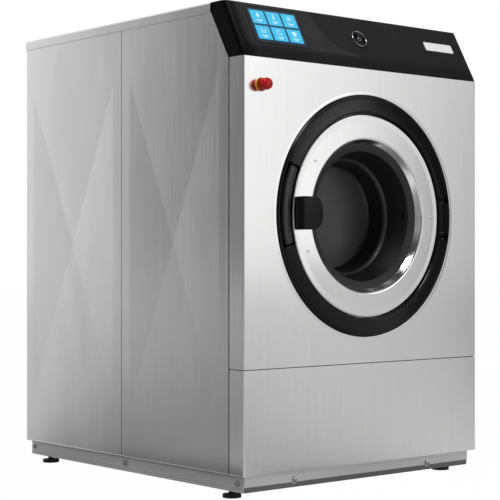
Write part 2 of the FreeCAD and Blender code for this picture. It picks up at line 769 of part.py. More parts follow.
def rear_panel():
    side = HALF_WIDTH - SHEET - CURVED_GAP
    y1 = REAR_PANEL_Y + SHEET
    panel = box(-side, side, REAR_PANEL_Y, y1, PANEL_BOTTOM, LID_UNDER - SHEET)
    for x in (-HALF_WIDTH / 2, HALF_WIDTH / 2):
        for step in range(LOUVRE_COUNT):
            z = LOUVRE_Z + LOUVRE_PITCH * step
            slot = box(x - LOUVRE_LENGTH / 2, x + LOUVRE_LENGTH / 2, REAR_PANEL_Y, y1, z, z + LOUVRE_HEIGHT)
            panel = panel.cut(slot)
    panel = panel.cut(rod_y(DRAIN_RADIUS + PANEL_HOLE_GAP, REAR_PANEL_Y, y1, DRAIN_X, DRAIN_Z))
    panel = panel.cut(rod_y(GLAND_RADIUS + CURVED_GAP, REAR_PANEL_Y, y1, GLAND_X, GLAND_Z))
    for x in inlet_columns():
        panel = panel.cut(rod_y(INLET_RADIUS + PANEL_HOLE_GAP, REAR_PANEL_Y, y1, x, INLET_Z))
    flange = box(side - SIDE_FLANGE, side, y1 - SHEET, y1, LID_UNDER - SHEET, LID_UNDER)
    save("rear_panel", joined(panel, flange, mirrored(flange)))


# Console
def console_profile(inset):
    wall = inset
    lean = math.atan2(CONSOLE_LIP_LEAN, CONSOLE_LIP_HEIGHT)
    tilt = math.radians(90 - FACE_TILT)
    foot_y = wall / math.cos(lean) + CONSOLE_LIP_LEAN * wall / CONSOLE_LIP_HEIGHT
    bend = (lean + tilt) / 2
    crease = (
        CONSOLE_LIP_LEAN + wall * math.cos(bend) / math.cos(tilt - bend),
        CONSOLE_CREASE - wall * math.sin(bend) / math.cos(tilt - bend),
    )
    edge_z = CONSOLE_EDGE_Z - wall
    edge_y = CONSOLE_EDGE_Y + wall / math.cos(tilt) - wall * math.tan(tilt)
    rear_y = CONSOLE_TOP_DEPTH - wall
    slope = (CONSOLE_TOP_DEPTH - FRONT_RETURN) / (CABINET_HEIGHT - LID_SKIRT - CONSOLE_BOTTOM)
    back = wall * math.sqrt(1 + slope * slope)
    skirt = CABINET_HEIGHT - LID_SKIRT
    return [
        (foot_y, CONSOLE_BOTTOM + wall),
        crease,
        (edge_y, edge_z),
        (edge_y + CONSOLE_EDGE_DROP, CABINET_HEIGHT - wall),
        (rear_y, CABINET_HEIGHT - wall),
        (rear_y, skirt - (back - wall) / slope),
        (FRONT_RETURN + slope * wall - back, CONSOLE_BOTTOM + wall),
    ]


def console_shell():
    body = prism_x(console_profile(0), -HALF_WIDTH, HALF_WIDTH)

    def end_edge(edge):
        middle = edge.BoundBox.Center
        slanted = edge.BoundBox.ZLength > FACE_RISE - 1 and middle.y < CONSOLE_EDGE_Y
        return slanted and abs(abs(middle.x) - HALF_WIDTH) < 1e-6

    body = rounded(body, CONSOLE_END_ROUND, end_edge)
    end = HALF_WIDTH - CONSOLE_END_WALL
    body = body.cut(prism_x(console_profile(CONSOLE_WALL), -end, end))
    half_w = SCREEN_WIDTH / 2 + SLIDE_GAP
    half_h = SCREEN_HEIGHT / 2 + SLIDE_GAP
    left = SCREEN_X - half_w
    right = SCREEN_X + half_w
    through = 2 * CONSOLE_WALL
    window = box(left, right, SCREEN_RISE - half_h, SCREEN_RISE + half_h, -through, through)
    hole_radius = BUTTON_RADIUS + BEZEL_WALL + 2 * SLIDE_GAP
    hole = Part.makeCylinder(hole_radius, 2 * through, V(BUTTON_X, BUTTON_RISE, -through))
    body = body.cut(on_console_face(window)).cut(on_console_face(hole))
    save("console_shell", body)


def touch_screen():
    left = SCREEN_X - SCREEN_WIDTH / 2
    right = SCREEN_X + SCREEN_WIDTH / 2
    low = SCREEN_RISE - SCREEN_HEIGHT / 2
    high = SCREEN_RISE + SCREEN_HEIGHT / 2
    edge = BOARD_MARGIN / 2
    seat = -CONSOLE_WALL
    glass = box(left, right, low, high, seat, seat + SCREEN_THICKNESS)
    ledge = box(left - edge, right + edge, low - edge / 2, high - 2 * edge, seat - SHEET, seat)
    inset = 2 * BOARD_MARGIN
    top = seat - SHEET
    board = box(left + inset, right - inset, low + inset, high - inset, top - BOARD_THICKNESS, top)
    save("touch_screen", on_console_face(joined(glass, ledge)), on_console_face(board))


def console_button():
    bore = BUTTON_RADIUS + SLIDE_GAP
    neck = BUTTON_RADIUS + BEZEL_WALL + SLIDE_GAP
    centre = V(BUTTON_X, BUTTON_RISE, 0)
    floor = -CONSOLE_WALL - SWITCH_DEPTH
    flange = Part.makeCylinder(BEZEL_RADIUS, BEZEL_PROUD, centre)
    flange = rounded(flange, BEZEL_PROUD * 0.6, lambda edge: edge.BoundBox.ZMin > BEZEL_PROUD - 1e-6)
    sleeve = Part.makeCylinder(neck, -floor, centre + V(0, 0, floor))
    bezel = joined(flange, sleeve)
    bezel = bezel.cut(Part.makeCylinder(bore, BEZEL_PROUD - floor, centre + V(0, 0, floor + BEZEL_WALL)))
    save("button_bezel", on_console_face(bezel))
    bottom = floor + BEZEL_WALL + BUTTON_STROKE + SLIDE_GAP
    cap = Part.makeCylinder(BUTTON_RADIUS, BUTTON_PROUD - bottom, centre + V(0, 0, bottom))
    cap = rounded(cap, BUTTON_PROUD * 0.5, lambda edge: edge.BoundBox.Center.z > BUTTON_PROUD - 1e-6)
    save("start_button", on_console_face(cap))


# Emergency stop
def emergency_stop():
    ring = rod_y(STOP_RING_RADIUS, -STOP_RING_HEIGHT, 0, STOP_X, STOP_Z)
    neck = rod_y(STOP_NECK_RADIUS, -STOP_RING_HEIGHT, SHEET, STOP_X, STOP_Z)
    half = STOP_BLOCK_SIZE / 2
    block = box(STOP_X - half, STOP_X + half, SHEET, SHEET + STOP_BLOCK_DEPTH, STOP_Z - half, STOP_Z + half)
    base = joined(ring, neck, block)
    stem_end = SHEET + STOP_BLOCK_DEPTH / 2
    base = base.cut(rod_y(STOP_STEM_RADIUS + SLIDE_GAP, -STOP_RING_HEIGHT, stem_end, STOP_X, STOP_Z))
    save("e_stop_base", base)
    head_back = STOP_HEAD_HEIGHT - STOP_REACH
    socket = head_back - STOP_SOCKET
    rim = STOP_HEAD_RADIUS
    head = turned([
        (0, -STOP_REACH),
        (rim * 0.55, -STOP_REACH + STOP_HEAD_HEIGHT * 0.03),
        (rim * 0.88, -STOP_REACH + STOP_HEAD_HEIGHT * 0.17),
        (rim, -STOP_REACH + STOP_HEAD_HEIGHT * 0.4),
        (rim, head_back - STOP_HEAD_HEIGHT * 0.17),
        (rim * 0.8, head_back),
        (STOP_STEM_RADIUS + RUNNING_GAP, head_back),
        (STOP_STEM_RADIUS + RUNNING_GAP, socket),
        (0, socket),
    ], STOP_X, STOP_Z)
    save("e_stop_head", head)
    stem_back = stem_end - STOP_STROKE - SLIDE_GAP
    save("e_stop_stem", rod_y(STOP_STEM_RADIUS, socket + SLIDE_GAP, stem_back, STOP_X, STOP_Z))


# Door surround
def collar_face(wall):
    def sheet_arc(points):
        return Part.Arc(*[V(r, y, DOOR_Z) for r, y in points]).toShape()

    outer = COLLAR_OUTER - wall
    inner = COLLAR_INNER + wall
    crown = wall - COLLAR_CROWN
    edge = COLLAR_SET_BACK + wall
    arc = sheet_arc([(outer, edge), (COLLAR_CROWN_RADIUS, crown), (inner, wall - COLLAR_CROWN * 0.4)])
    outline = [(inner, wall - COLLAR_CROWN * 0.4), (inner, PLATE_Y), (outer, PLATE_Y), (outer, edge)]
    corners = [V(r, y, DOOR_Z) for r, y in outline]
    lines = [Part.makeLine(corners[step], corners[step + 1]) for step in range(3)]
    return Part.Face(Part.Wire(Part.__sortEdges__([arc] + lines)))


def door_collar():
    axis_point = V(0, 0, DOOR_Z)
    outer = collar_face(0)
    inner = collar_face(COLLAR_WALL)
    ring = outer.revolve(axis_point, Y_AXIS, 360)
    hollow = inner.revolve(axis_point, Y_AXIS, 360)
    start = 180 - POCKET_ABOVE
    end = 180 + POCKET_BELOW
    front = -2 * COLLAR_CROWN
    within = COLLAR_INNER - COLLAR_WALL
    wall = POCKET_WALL_ANGLE
    pocket_zone = sector(within, COLLAR_OUTER, start - wall, end + wall, front, PLATE_Y)
    collar = ring.cut(hollow.cut(pocket_zone))
    pocket = sector(COLLAR_INNER + COLLAR_WALL, COLLAR_OUTER - COLLAR_WALL, start, end, front, POCKET_DEPTH)
    lug_way = sector(within, COLLAR_INNER + 2 * COLLAR_WALL, start, end, front, BACK_RING_EDGE + COLLAR_WALL)
    collar = collar.cut(pocket).cut(lug_way)
    arm_half = HINGE_ARM_HEIGHT / 2 + HINGE_SLOT_ROOM
    arm_y1 = HINGE_Y + HINGE_ARM_THICKNESS / 2 + HINGE_SLOT_ROOM
    slot_reach = rod_y(COLLAR_OUTER - COLLAR_WALL, front, PLATE_Y, 0, DOOR_Z)
    for z in (DOOR_Z - HINGE_ARM_Z, DOOR_Z + HINGE_ARM_Z):
        slot = box(COLLAR_INNER - 2 * RAIL_FLANGE, COLLAR_OUTER, front, arm_y1, z - arm_half, z + arm_half)
        collar = collar.cut(slot.common(slot_reach))
    save("door_collar", collar)


# Door leaf
def hinge_arm(z, room=0.0):
    half = HINGE_ARM_HEIGHT / 2
    y0 = HINGE_Y - HINGE_ARM_THICKNESS / 2
    y1 = HINGE_Y + HINGE_ARM_THICKNESS / 2
    return box(HINGE_ARM_ROOT, HINGE_X, y0, y1 + room, z - half, z + half)


def latch_bar():
    half = LATCH_THICKNESS / 2
    reach = LATCH_HEIGHT / 2
    return box(-LATCH_X - half, -LATCH_X + half, LATCH_ROOT, LATCH_TIP_Y, DOOR_Z - reach, DOOR_Z + reach)


def grip_angles():
    start = 180 - POCKET_ABOVE + GRIP_END_GAP_ANGLE
    end = 180 + POCKET_BELOW - GRIP_END_GAP_ANGLE
    return start, end


def grip_lugs():
    start, end = grip_angles()
    span = end - start
    half = GRIP_LUG_WIDTH / 2
    top = GRIP_THICKNESS - COLLAR_CROWN
    root = BACK_RING_OUTER - GRIP_LUG_ROOT
    tip = GRIP_INNER + GRIP_WIDTH / 2
    y0 = RING_RETURN - RING_PROUD + SLIDE_GAP
    lug = box(root, tip, y0, top + GRIP_LUG_ROOT, DOOR_Z - half, DOOR_Z + half)
    return [around(lug, start + span * 0.15), around(lug, end - span * 0.15)]


def door_ring():
    bend = 2 * SHEET
    front = -RING_PROUD
    ring = turned([
        (RING_INNER, front + bend),
        (RING_INNER + bend, front),
        (RING_OUTER - bend * 0.6, front),
        (RING_OUTER, front + bend * 0.6),
        (RING_OUTER, front + RING_RETURN),
        (RING_OUTER - SHEET, front + RING_RETURN),
        (RING_OUTER - SHEET, front + bend),
        (RING_OUTER - bend, front + SHEET),
        (RING_INNER + bend + SHEET, front + SHEET),
        (LIP_OUTER, front + bend + SHEET),
        (LIP_OUTER - LIP_LEAN, SEAL_Y),
        (RING_INNER - LIP_LEAN, SEAL_Y),
    ])
    save("door_ring", ring)


def door_back_ring():
    inner = LIP_OUTER + CURVED_GAP
    front = RING_BACK_Y + CURVED_GAP
    ring = turned([
        (inner, BOWL_RIM_Y - SEAL_THICKNESS),
        (inner + 3 * SHEET, RING_BACK_Y),
        (RING_OUTER - 3 * SHEET, RING_BACK_Y),
        (BACK_RING_OUTER, front + SHEET),
        (BACK_RING_OUTER, BACK_RING_EDGE),
        (inner + 10 * CLAMP_THICKNESS / 2, CLAMP_Y - CLAMP_THICKNESS),
        (inner + CURVED_GAP, CLAMP_Y + CLAMP_THICKNESS),
        (CLAMP_INNER, CLAMP_Y + CLAMP_THICKNESS),
        (CLAMP_INNER, CLAMP_Y),
        (inner, CLAMP_Y),
    ])
    for z in (DOOR_Z - HINGE_ARM_Z, DOOR_Z + HINGE_ARM_Z):
        ring = ring.cut(hinge_arm(z, CLAMP_Y))
    for lug in grip_lugs():
        ring = ring.cut(lug)
    save("door_back_ring", ring.cut(latch_bar()))


def door_seal():
    outer = LIP_OUTER
    seal = turned([
        (BOWL_MOUTH, SEAL_Y + SHEET),
        (BOWL_MOUTH + SHEET, SEAL_Y),
        (outer, SEAL_Y),
        (outer, BOWL_RIM_Y),
        (BOWL_MOUTH, BOWL_RIM_Y),
    ])
    save("door_seal", seal)


def door_glass():
    rim = LIP_OUTER - CURVED_GAP
    slope = (BOWL_MOUTH - BOWL_WAIST) / (BOWL_WAIST_Y - BOWL_RIM_Y)
    step_y = BOWL_WAIST_Y + 2 * BOWL_STEP
    bowl = turned([
        (0, BOWL_FLOOR_Y),
        (BOWL_FLOOR_RADIUS - BOWL_WALL, BOWL_FLOOR_Y),
        (BOWL_FLOOR_RADIUS, BOWL_FLOOR_Y - BOWL_WALL),
        (BOWL_WAIST - BOWL_STEP, step_y),
        (BOWL_WAIST, BOWL_WAIST_Y),
        (BOWL_MOUTH, BOWL_RIM_Y),
        (rim, BOWL_RIM_Y),
        (rim, CLAMP_Y),
        (BOWL_MOUTH + BOWL_WALL - slope * BOWL_WALL, CLAMP_Y),
        (BOWL_WAIST + BOWL_WALL, BOWL_WAIST_Y),
        (BOWL_WAIST + BOWL_WALL - BOWL_STEP, step_y),
        (BOWL_FLOOR_RADIUS + BOWL_WALL, BOWL_FLOOR_Y),
        (BOWL_FLOOR_RADIUS, BOWL_FLOOR_Y + BOWL_WALL),
        (0, BOWL_FLOOR_Y + BOWL_WALL),
    ])
    save("door_glass", bowl)


def door_handle():
    half = HANDLE_HEIGHT / 2
    back = -RING_PROUD
    block = box(-HANDLE_OUTER, -HANDLE_INNER, -HANDLE_REACH, back, DOOR_Z - half, DOOR_Z + half)
    block = block.common(rod_y(HANDLE_OUTER, -HANDLE_REACH, back, 0, DOOR_Z))

    def inner_corner(edge):
        return edge.BoundBox.Center.x > -HANDLE_INNER - 1e-6 and edge.BoundBox.YLength > 1

    block = rounded(block, half * 0.55, inner_corner)
    block = rounded(block, HANDLE_ROUND, lambda edge: edge.BoundBox.YMax < -HANDLE_REACH + 1e-6)
    save("door_handle", block)


def door_grip_bar():
    start, end = grip_angles()
    back = GRIP_THICKNESS - COLLAR_CROWN
    outer = GRIP_INNER + GRIP_WIDTH
    crown = GRIP_INNER + GRIP_WIDTH / 2
    bar = turned_sector([
        (GRIP_INNER, 0.4 * back - COLLAR_CROWN),
        (GRIP_INNER + GRIP_WIDTH * 0.15, -COLLAR_CROWN * 0.85),
        (crown, -COLLAR_CROWN),
        (outer - GRIP_WIDTH * 0.15, -COLLAR_CROWN * 0.85),
        (outer, 0.4 * back - COLLAR_CROWN),
        (outer, back),
        (GRIP_INNER, back),
    ], start, end)
    save("door_grip_bar", joined(bar, *grip_lugs()))


# Hinge, latch and lock
def hinge():
    arm_half = HINGE_ARM_HEIGHT / 2
    arms = []
    lugs = []
    bore = HINGE_PIN_RADIUS + RUNNING_GAP
    foot_y = PLATE_Y - HINGE_FOOT_THICKNESS
    foot_x1 = HINGE_X + HINGE_EYE_RADIUS
    reach = HINGE_ARM_Z + arm_half + HINGE_SIDE_GAP + HINGE_LUG_THICKNESS
    pin_hole = rod_z(bore, DOOR_Z - reach, DOOR_Z + reach, HINGE_X, HINGE_Y)
    for z in (DOOR_Z - HINGE_ARM_Z, DOOR_Z + HINGE_ARM_Z):
        eye = rod_z(HINGE_EYE_RADIUS, z - arm_half, z + arm_half, HINGE_X, HINGE_Y)
        arms.append(joined(hinge_arm(z), eye).cut(pin_hole))
        for low in (z - arm_half - HINGE_SIDE_GAP - HINGE_LUG_THICKNESS, z + arm_half + HINGE_SIDE_GAP):
            eye = rod_z(HINGE_EYE_RADIUS, low, low + HINGE_LUG_THICKNESS, HINGE_X, HINGE_Y)
            web = box(foot_x1 - 2 * HINGE_EYE_RADIUS, foot_x1, HINGE_Y, foot_y, low, low + HINGE_LUG_THICKNESS)
            lugs.append(joined(web, eye))
    foot = box(foot_x1 - HINGE_FOOT_WIDTH, foot_x1, foot_y, PLATE_Y, DOOR_Z - reach, DOOR_Z + reach)
    save("hinge_arms", *arms)
    save("hinge_bracket", joined(foot, *lugs).cut(pin_hole))
    save("hinge_pin", rod_z(HINGE_PIN_RADIUS, DOOR_Z - reach, DOOR_Z + reach, HINGE_X, HINGE_Y))


def latch_and_lock():
    half = LATCH_THICKNESS / 2
    hook = latch_bar().cut(rod_x(LATCH_HOLE_RADIUS, -LATCH_X - half, -LATCH_X + half, LATCH_HOLE_Y, DOOR_Z))
    save("door_latch", hook)
    outer_x = LOCK_INNER_X + LOCK_WIDTH
    lock_half = LOCK_HEIGHT / 2
    y0 = PLATE_BACK_Y
    case = box(-outer_x, -LOCK_INNER_X, y0, y0 + LOCK_DEPTH, DOOR_Z - lock_half, DOOR_Z + lock_half)
    room = half + LATCH_ROOM
    reach = LATCH_HEIGHT / 2 + LATCH_ROOM / 2
    mouth_end = LATCH_TIP_Y + LATCH_ROOM / 2
    case = case.cut(box(-LATCH_X - room, -LATCH_X + room, y0, mouth_end, DOOR_Z - reach, DOOR_Z + reach))
    bolt_x1 = -LATCH_X - room - SLIDE_GAP
    bolt_x0 = bolt_x1 - BOLT_LENGTH
    case = case.cut(rod_x(BOLT_RADIUS + RUNNING_GAP, bolt_x0 - SLIDE_GAP, -LATCH_X, LATCH_HOLE_Y, DOOR_Z))
    save("door_lock", case)
    save("lock_bolt", rod_x(BOLT_RADIUS, bolt_x0, bolt_x1, LATCH_HOLE_Y, DOOR_Z))


# Door bellows
def door_bellows():
    wall = HOSE_WALL
    y0 = PLATE_BACK_Y
    neck = TUB_NECK_RADIUS + CURVED_GAP
    neck_y = TUB_FRONT_Y - TUB_NECK_LENGTH
    lip = BOWL_MOUTH + BOWL_WALL
    root = PLATE_HOLE_RADIUS
    middle = (y0 + neck_y) / 2
    bellows = turned([
        (lip, y0),
        (root + wall, y0),
        (root + wall, y0 + wall),
        (root, y0 + wall),
        (root - wall, middle),
        (root + wall, middle + wall / 2),
        (neck + wall, neck_y - wall / 2),
        (neck + wall, TUB_FRONT_Y - wall),
        (neck, TUB_FRONT_Y - wall),
        (neck, neck_y - wall / 2),
        (root, middle + wall * 1.5),
        (root - 2 * wall, middle + wall),
        (root - wall, y0 + wall),
        (lip, y0 + wall),
    ])
    save("door_bellows", bellows)


# Tub and its load
def sump():
    tub_floor = DOOR_Z - math.sqrt(TUB_RADIUS ** 2 - DRAIN_X ** 2)
    return SUMP_BOTTOM, tub_floor + TUB_WALL + SUMP_RADIUS


def fill_neck():
    top = DOOR_Z + math.sqrt(TUB_RADIUS ** 2 - DISPENSER_X ** 2)
    return top - FILL_RADIUS, FILL_NECK_TOP


def tub():
    inner = TUB_RADIUS - TUB_WALL
    outer_rod = rod_y(TUB_RADIUS, TUB_FRONT_Y + TUB_WALL, TUB_BACK_Y, 0, DOOR_Z)
    inner_rod = rod_y(inner, TUB_FRONT_Y + TUB_WALL, TUB_BACK_Y, 0, DOOR_Z)
    low, high = sump()
    drain = rod_z(SUMP_RADIUS, low, high, DRAIN_X, DRAIN_Y)
    neck_low, neck_high = fill_neck()
    fill = rod_z(FILL_RADIUS, neck_low, neck_high, DISPENSER_X, FILL_Y)
    shell = joined(outer_rod, drain, fill).cut(inner_rod)
    shell = shell.cut(rod_z(SUMP_RADIUS - TUB_WALL, low, high, DRAIN_X, DRAIN_Y))
    shell = shell.cut(rod_z(FILL_RADIUS - TUB_WALL, neck_low, neck_high, DISPENSER_X, FILL_Y))
    neck_y = TUB_FRONT_Y - TUB_NECK_LENGTH
    front = turned([
        (TUB_NECK_RADIUS - TUB_WALL, neck_y),
        (TUB_NECK_RADIUS, neck_y),
        (TUB_NECK_RADIUS, TUB_FRONT_Y),
        (TUB_RADIUS, TUB_FRONT_Y),
        (TUB_RADIUS, TUB_FRONT_Y + TUB_WALL),
        (TUB_NECK_RADIUS - TUB_WALL, TUB_FRONT_Y + TUB_WALL),
    ])
    back = tube_y(SHAFT_RADIUS + PAD_HEIGHT, TUB_RADIUS, TUB_BACK_Y, TUB_BACK_Y + TUB_BACK_WALL, 0, DOOR_Z)
    save("tub_shell", shell, front, back)


def counterweights():
    y1 = TUB_FRONT_Y
    y0 = y1 - WEIGHT_THICKNESS
    half = WEIGHT_SPREAD / 2
    blocks = [sector(WEIGHT_INNER, WEIGHT_OUTER, middle - half, middle + half, y0, y1) for middle in (90, 270)]
    save("counterweights", *blocks)


def bearing_parts():
    y0 = TUB_BACK_Y + TUB_BACK_WALL
    y1 = y0 + HOUSING_LENGTH
    rib_profile = [
        (HOUSING_RADIUS - HOUSING_RIB, y0),
        (HOUSING_FLANGE_RADIUS, y0),
        (HOUSING_FLANGE_RADIUS, y0 + HOUSING_FLANGE),
        (HOUSING_RADIUS, y1 - HOUSING_FLANGE),
        (HOUSING_RADIUS - HOUSING_RIB, y1 - HOUSING_FLANGE),
    ]
    rib = flat([V(r, y, DOOR_Z - HOUSING_RIB / 2) for r, y in rib_profile]).extrude(V(0, 0, HOUSING_RIB))
    ribs = [around(rib, 360.0 * step / HOUSING_RIB_COUNT) for step in range(HOUSING_RIB_COUNT)]
    flange = rod_y(HOUSING_FLANGE_RADIUS, y0, y0 + HOUSING_FLANGE, 0, DOOR_Z)
    body = joined(flange, rod_y(HOUSING_RADIUS, y0, y1, 0, DOOR_Z), *ribs)
    body = body.cut(rod_y(SHAFT_RADIUS + PAD_HEIGHT, y0, y1, 0, DOOR_Z))
    races = []
    for low in (y0 + BEARING_SETBACK, y1 - BEARING_SETBACK - BEARING_WIDTH):
        high = low + BEARING_WIDTH
        body = body.cut(rod_y(BEARING_RADIUS, low, high, 0, DOOR_Z))
        races.append(tube_y(SHAFT_RADIUS + RUNNING_GAP, BEARING_RADIUS - RUNNING_GAP, low, high, 0, DOOR_Z))
    save("bearing_housing", body)
    save("shaft_bearings", *races)


# Drum and shaft
def drum():
    inner = DRUM_RADIUS - DRUM_WALL
    shell = tube_y(inner, DRUM_RADIUS, DRUM_FRONT_Y + DRUM_WALL, DRUM_BACK_Y, 0, DOOR_Z)
    save("drum_shell", shell, rod_y(DRUM_RADIUS, DRUM_BACK_Y, DRUM_BACK_Y + DRUM_WALL, 0, DOOR_Z))
    lip_y = DRUM_FRONT_Y - DRUM_MOUTH_LIP
    front = turned([
        (DRUM_MOUTH_RADIUS, lip_y),
        (DRUM_MOUTH_RADIUS + DRUM_WALL, lip_y),
        (DRUM_MOUTH_RADIUS + DRUM_MOUTH_LIP, DRUM_FRONT_Y),
        (DRUM_RADIUS, DRUM_FRONT_Y),
        (DRUM_RADIUS, DRUM_FRONT_Y + DRUM_WALL),
        (DRUM_MOUTH_RADIUS + DRUM_MOUTH_LIP - DRUM_WALL, DRUM_FRONT_Y + DRUM_WALL),
    ])
    save("drum_front", front)


def drum_lifters():
    middle = (DRUM_FRONT_Y + DRUM_BACK_Y) / 2
    y0 = middle - LIFTER_LENGTH / 2
    y1 = middle + LIFTER_LENGTH / 2
    seat = DRUM_RADIUS - DRUM_WALL - CURVED_GAP
    low = DOOR_Z + seat - LIFTER_HEIGHT
    foot = DOOR_Z + math.sqrt(seat ** 2 - (LIFTER_BASE / 2) ** 2)
    outline = [
        (-LIFTER_BASE / 2, foot),
        (-LIFTER_BASE / 2, DOOR_Z + seat),
        (LIFTER_BASE / 2, DOOR_Z + seat),
        (LIFTER_BASE / 2, foot),
        (LIFTER_CREST / 2, low),
        (-LIFTER_CREST / 2, low),
    ]
    wedge = prism_y(outline, y0, y1).common(rod_y(seat, y0, y1, 0, DOOR_Z))

    def crest_edge(edge):
        return edge.BoundBox.YLength > LIFTER_LENGTH - 1 and abs(edge.BoundBox.Center.z - low) < 1e-6

    wedge = rounded(wedge, LIFTER_CREST * 0.3, crest_edge)
    save("drum_lifters", *[around(wedge, 360.0 * step / LIFTER_COUNT) for step in range(LIFTER_COUNT)])


def drum_spider():
    y0 = DRUM_BACK_Y + DRUM_WALL
    y1 = y0 + SPIDER_THICKNESS
    half = SPIDER_ARM_WIDTH / 2
    hub = rod_y(SPIDER_HUB_RADIUS, y0, y1, 0, DOOR_Z)
    tip = half * 0.6
    end = DOOR_Z + SPIDER_REACH
    arm = prism_y([(-half, DOOR_Z), (half, DOOR_Z), (tip, end), (-tip, end)], y0, y1)
    arms = [around(arm, 360.0 * step / LIFTER_COUNT) for step in range(LIFTER_COUNT)]
    spider = joined(hub, *arms).cut(rod_y(SHAFT_RADIUS + RUNNING_GAP, y0, y1, 0, DOOR_Z))
    save("drum_spider", spider, rod_y(SHAFT_RADIUS, y0, SHAFT_END_Y, 0, DOOR_Z))


# Belt drive
def pulley_rim(radius, inner, z):
    lip = FLANGE_LIP
    groove = (PULLEY_WIDTH - BELT_WIDTH) / 2 - CURVED_GAP
    y1 = PULLEY_Y + PULLEY_WIDTH
    return turned([
        (inner, PULLEY_Y),
        (radius + lip, PULLEY_Y),
        (radius, PULLEY_Y + groove),
        (radius, y1 - groove),
        (radius + lip, y1),
        (inner, y1),
    ], 0, z)


def drum_pulley():
    y1 = PULLEY_Y + PULLEY_WIDTH
    rim = pulley_rim(DRUM_PULLEY_RADIUS, DRUM_PULLEY_RADIUS - PULLEY_RIM, DOOR_Z)
    half = PULLEY_SPOKE_WIDTH / 2
    reach = DRUM_PULLEY_RADIUS - PULLEY_RIM / 2
    spoke_y = PULLEY_Y + PULLEY_WIDTH * 0.3
    spoke = box(-half, half, spoke_y, spoke_y + PULLEY_WIDTH * 0.4, DOOR_Z, DOOR_Z + reach)
    spokes = [around(spoke, 360.0 * step / PULLEY_SPOKES) for step in range(PULLEY_SPOKES)]
    wheel = joined(rim, rod_y(PULLEY_HUB_RADIUS, PULLEY_Y, y1, 0, DOOR_Z), *spokes)
    save("drum_pulley", wheel.cut(rod_y(SHAFT_RADIUS + RUNNING_GAP, PULLEY_Y, y1, 0, DOOR_Z)))


def belt_loop(grow):
    large = DRUM_PULLEY_RADIUS + grow
    small = MOTOR_PULLEY_RADIUS + grow
    lean = -(large - small) / (DOOR_Z - MOTOR_Z)
    across = math.sqrt(1 - lean * lean)
    y0 = PULLEY_Y + (PULLEY_WIDTH - BELT_WIDTH) / 2
    upper = [V(side * large * across, y0, DOOR_Z + large * lean) for side in (-1, 1)]
    lower = [V(side * small * across, y0, MOTOR_Z + small * lean) for side in (-1, 1)]
    edges = [
        Part.Arc(upper[0], V(0, y0, DOOR_Z + large), upper[1]).toShape(),
        Part.makeLine(upper[1], lower[1]),
        Part.Arc(lower[1], V(0, y0, MOTOR_Z - small), lower[0]).toShape(),
        Part.makeLine(lower[0], upper[0]),
    ]
    return Part.Face(Part.Wire(edges)).extrude(V(0, BELT_WIDTH, 0))


def drive_belt():
    save("drive_belt", belt_loop(CURVED_GAP + BELT_THICKNESS).cut(belt_loop(CURVED_GAP)))


def motor():
    y0 = MOTOR_FRONT_Y
    y1 = MOTOR_FRONT_Y + MOTOR_LENGTH
    bell = MOTOR_LENGTH * 0.16
    core = rod_y(MOTOR_RADIUS, y0, y1, 0, MOTOR_Z)
    half = MOTOR_FIN / 4
    fin = box(-half, half, y0 + bell, y1 - bell, MOTOR_Z, MOTOR_Z + MOTOR_RADIUS + MOTOR_FIN)
    fins = [around(fin, 360.0 * (step + 0.5) / MOTOR_FIN_COUNT, MOTOR_Z) for step in range(MOTOR_FIN_COUNT)]
    foot_half = MOTOR_FOOT_WIDTH / 2
    foot_top = CRADLE_Z - CRADLE_PLATE
    foot = box(-foot_half, foot_half, y0 + bell, y1 - bell, foot_top - CRADLE_PLATE, foot_top)
    neck = box(-foot_half * 0.6, foot_half * 0.6, y0 + bell, y1 - bell, MOTOR_Z, foot_top)
    body = joined(core, foot, neck, *fins)
    body = body.cut(rod_y(MOTOR_SHAFT_RADIUS + RUNNING_GAP, y1 - 2 * bell, y1, 0, MOTOR_Z))
    save("drive_motor", body)
    shaft = rod_y(MOTOR_SHAFT_RADIUS, y1 - 2 * bell + SLIDE_GAP, PULLEY_Y, 0, MOTOR_Z)
    save("motor_pulley", joined(pulley_rim(MOTOR_PULLEY_RADIUS, 0, MOTOR_Z), shaft))


# Suspension
def spring_places():
    return [(side * SPRING_X, y) for side in (-1, 1) for y in (SPRING_FRONT_Y, SPRING_REAR_Y)]


def damper_places():
    return [(side * DAMPER_X, y) for side in (-1, 1) for y in (SPRING_FRONT_Y, SPRING_REAR_Y)]


def tub_cradle():
    half = CRADLE_PLATE / 2
    seat_z = CRADLE_Z - CRADLE_PLATE
    hollow = rod_y(TUB_RADIUS + CURVED_GAP, 0, CABINET_DEPTH, 0, DOOR_Z)
    pieces = []
    for y in (SPRING_FRONT_Y, SPRING_REAR_Y):
        web = box(-CRADLE_HALF_WIDTH, CRADLE_HALF_WIDTH, y - half, y + half, CRADLE_Z, CRADLE_TOP)
        pieces.append(web.cut(hollow))
        y0 = y - SEAT_SIZE / 2
        pieces.append(box(-CRADLE_HALF_WIDTH, CRADLE_HALF_WIDTH, y0, y0 + SEAT_SIZE, seat_z, CRADLE_Z))
    motor_end = MOTOR_FRONT_Y + MOTOR_LENGTH
    plate_x = CRADLE_RAIL_X + CRADLE_RAIL_WIDTH / 2
    rail_top = CRADLE_Z + CRADLE_RAIL_HEIGHT
    rail = box(plate_x - CRADLE_RAIL_WIDTH, plate_x, SPRING_FRONT_Y, motor_end, CRADLE_Z, rail_top)
    pieces.extend(mirrored_pair(rail))
    pieces.append(box(-plate_x, plate_x, MOTOR_FRONT_Y, motor_end, seat_z, CRADLE_Z))
    save("tub_cradle", joined(*pieces))


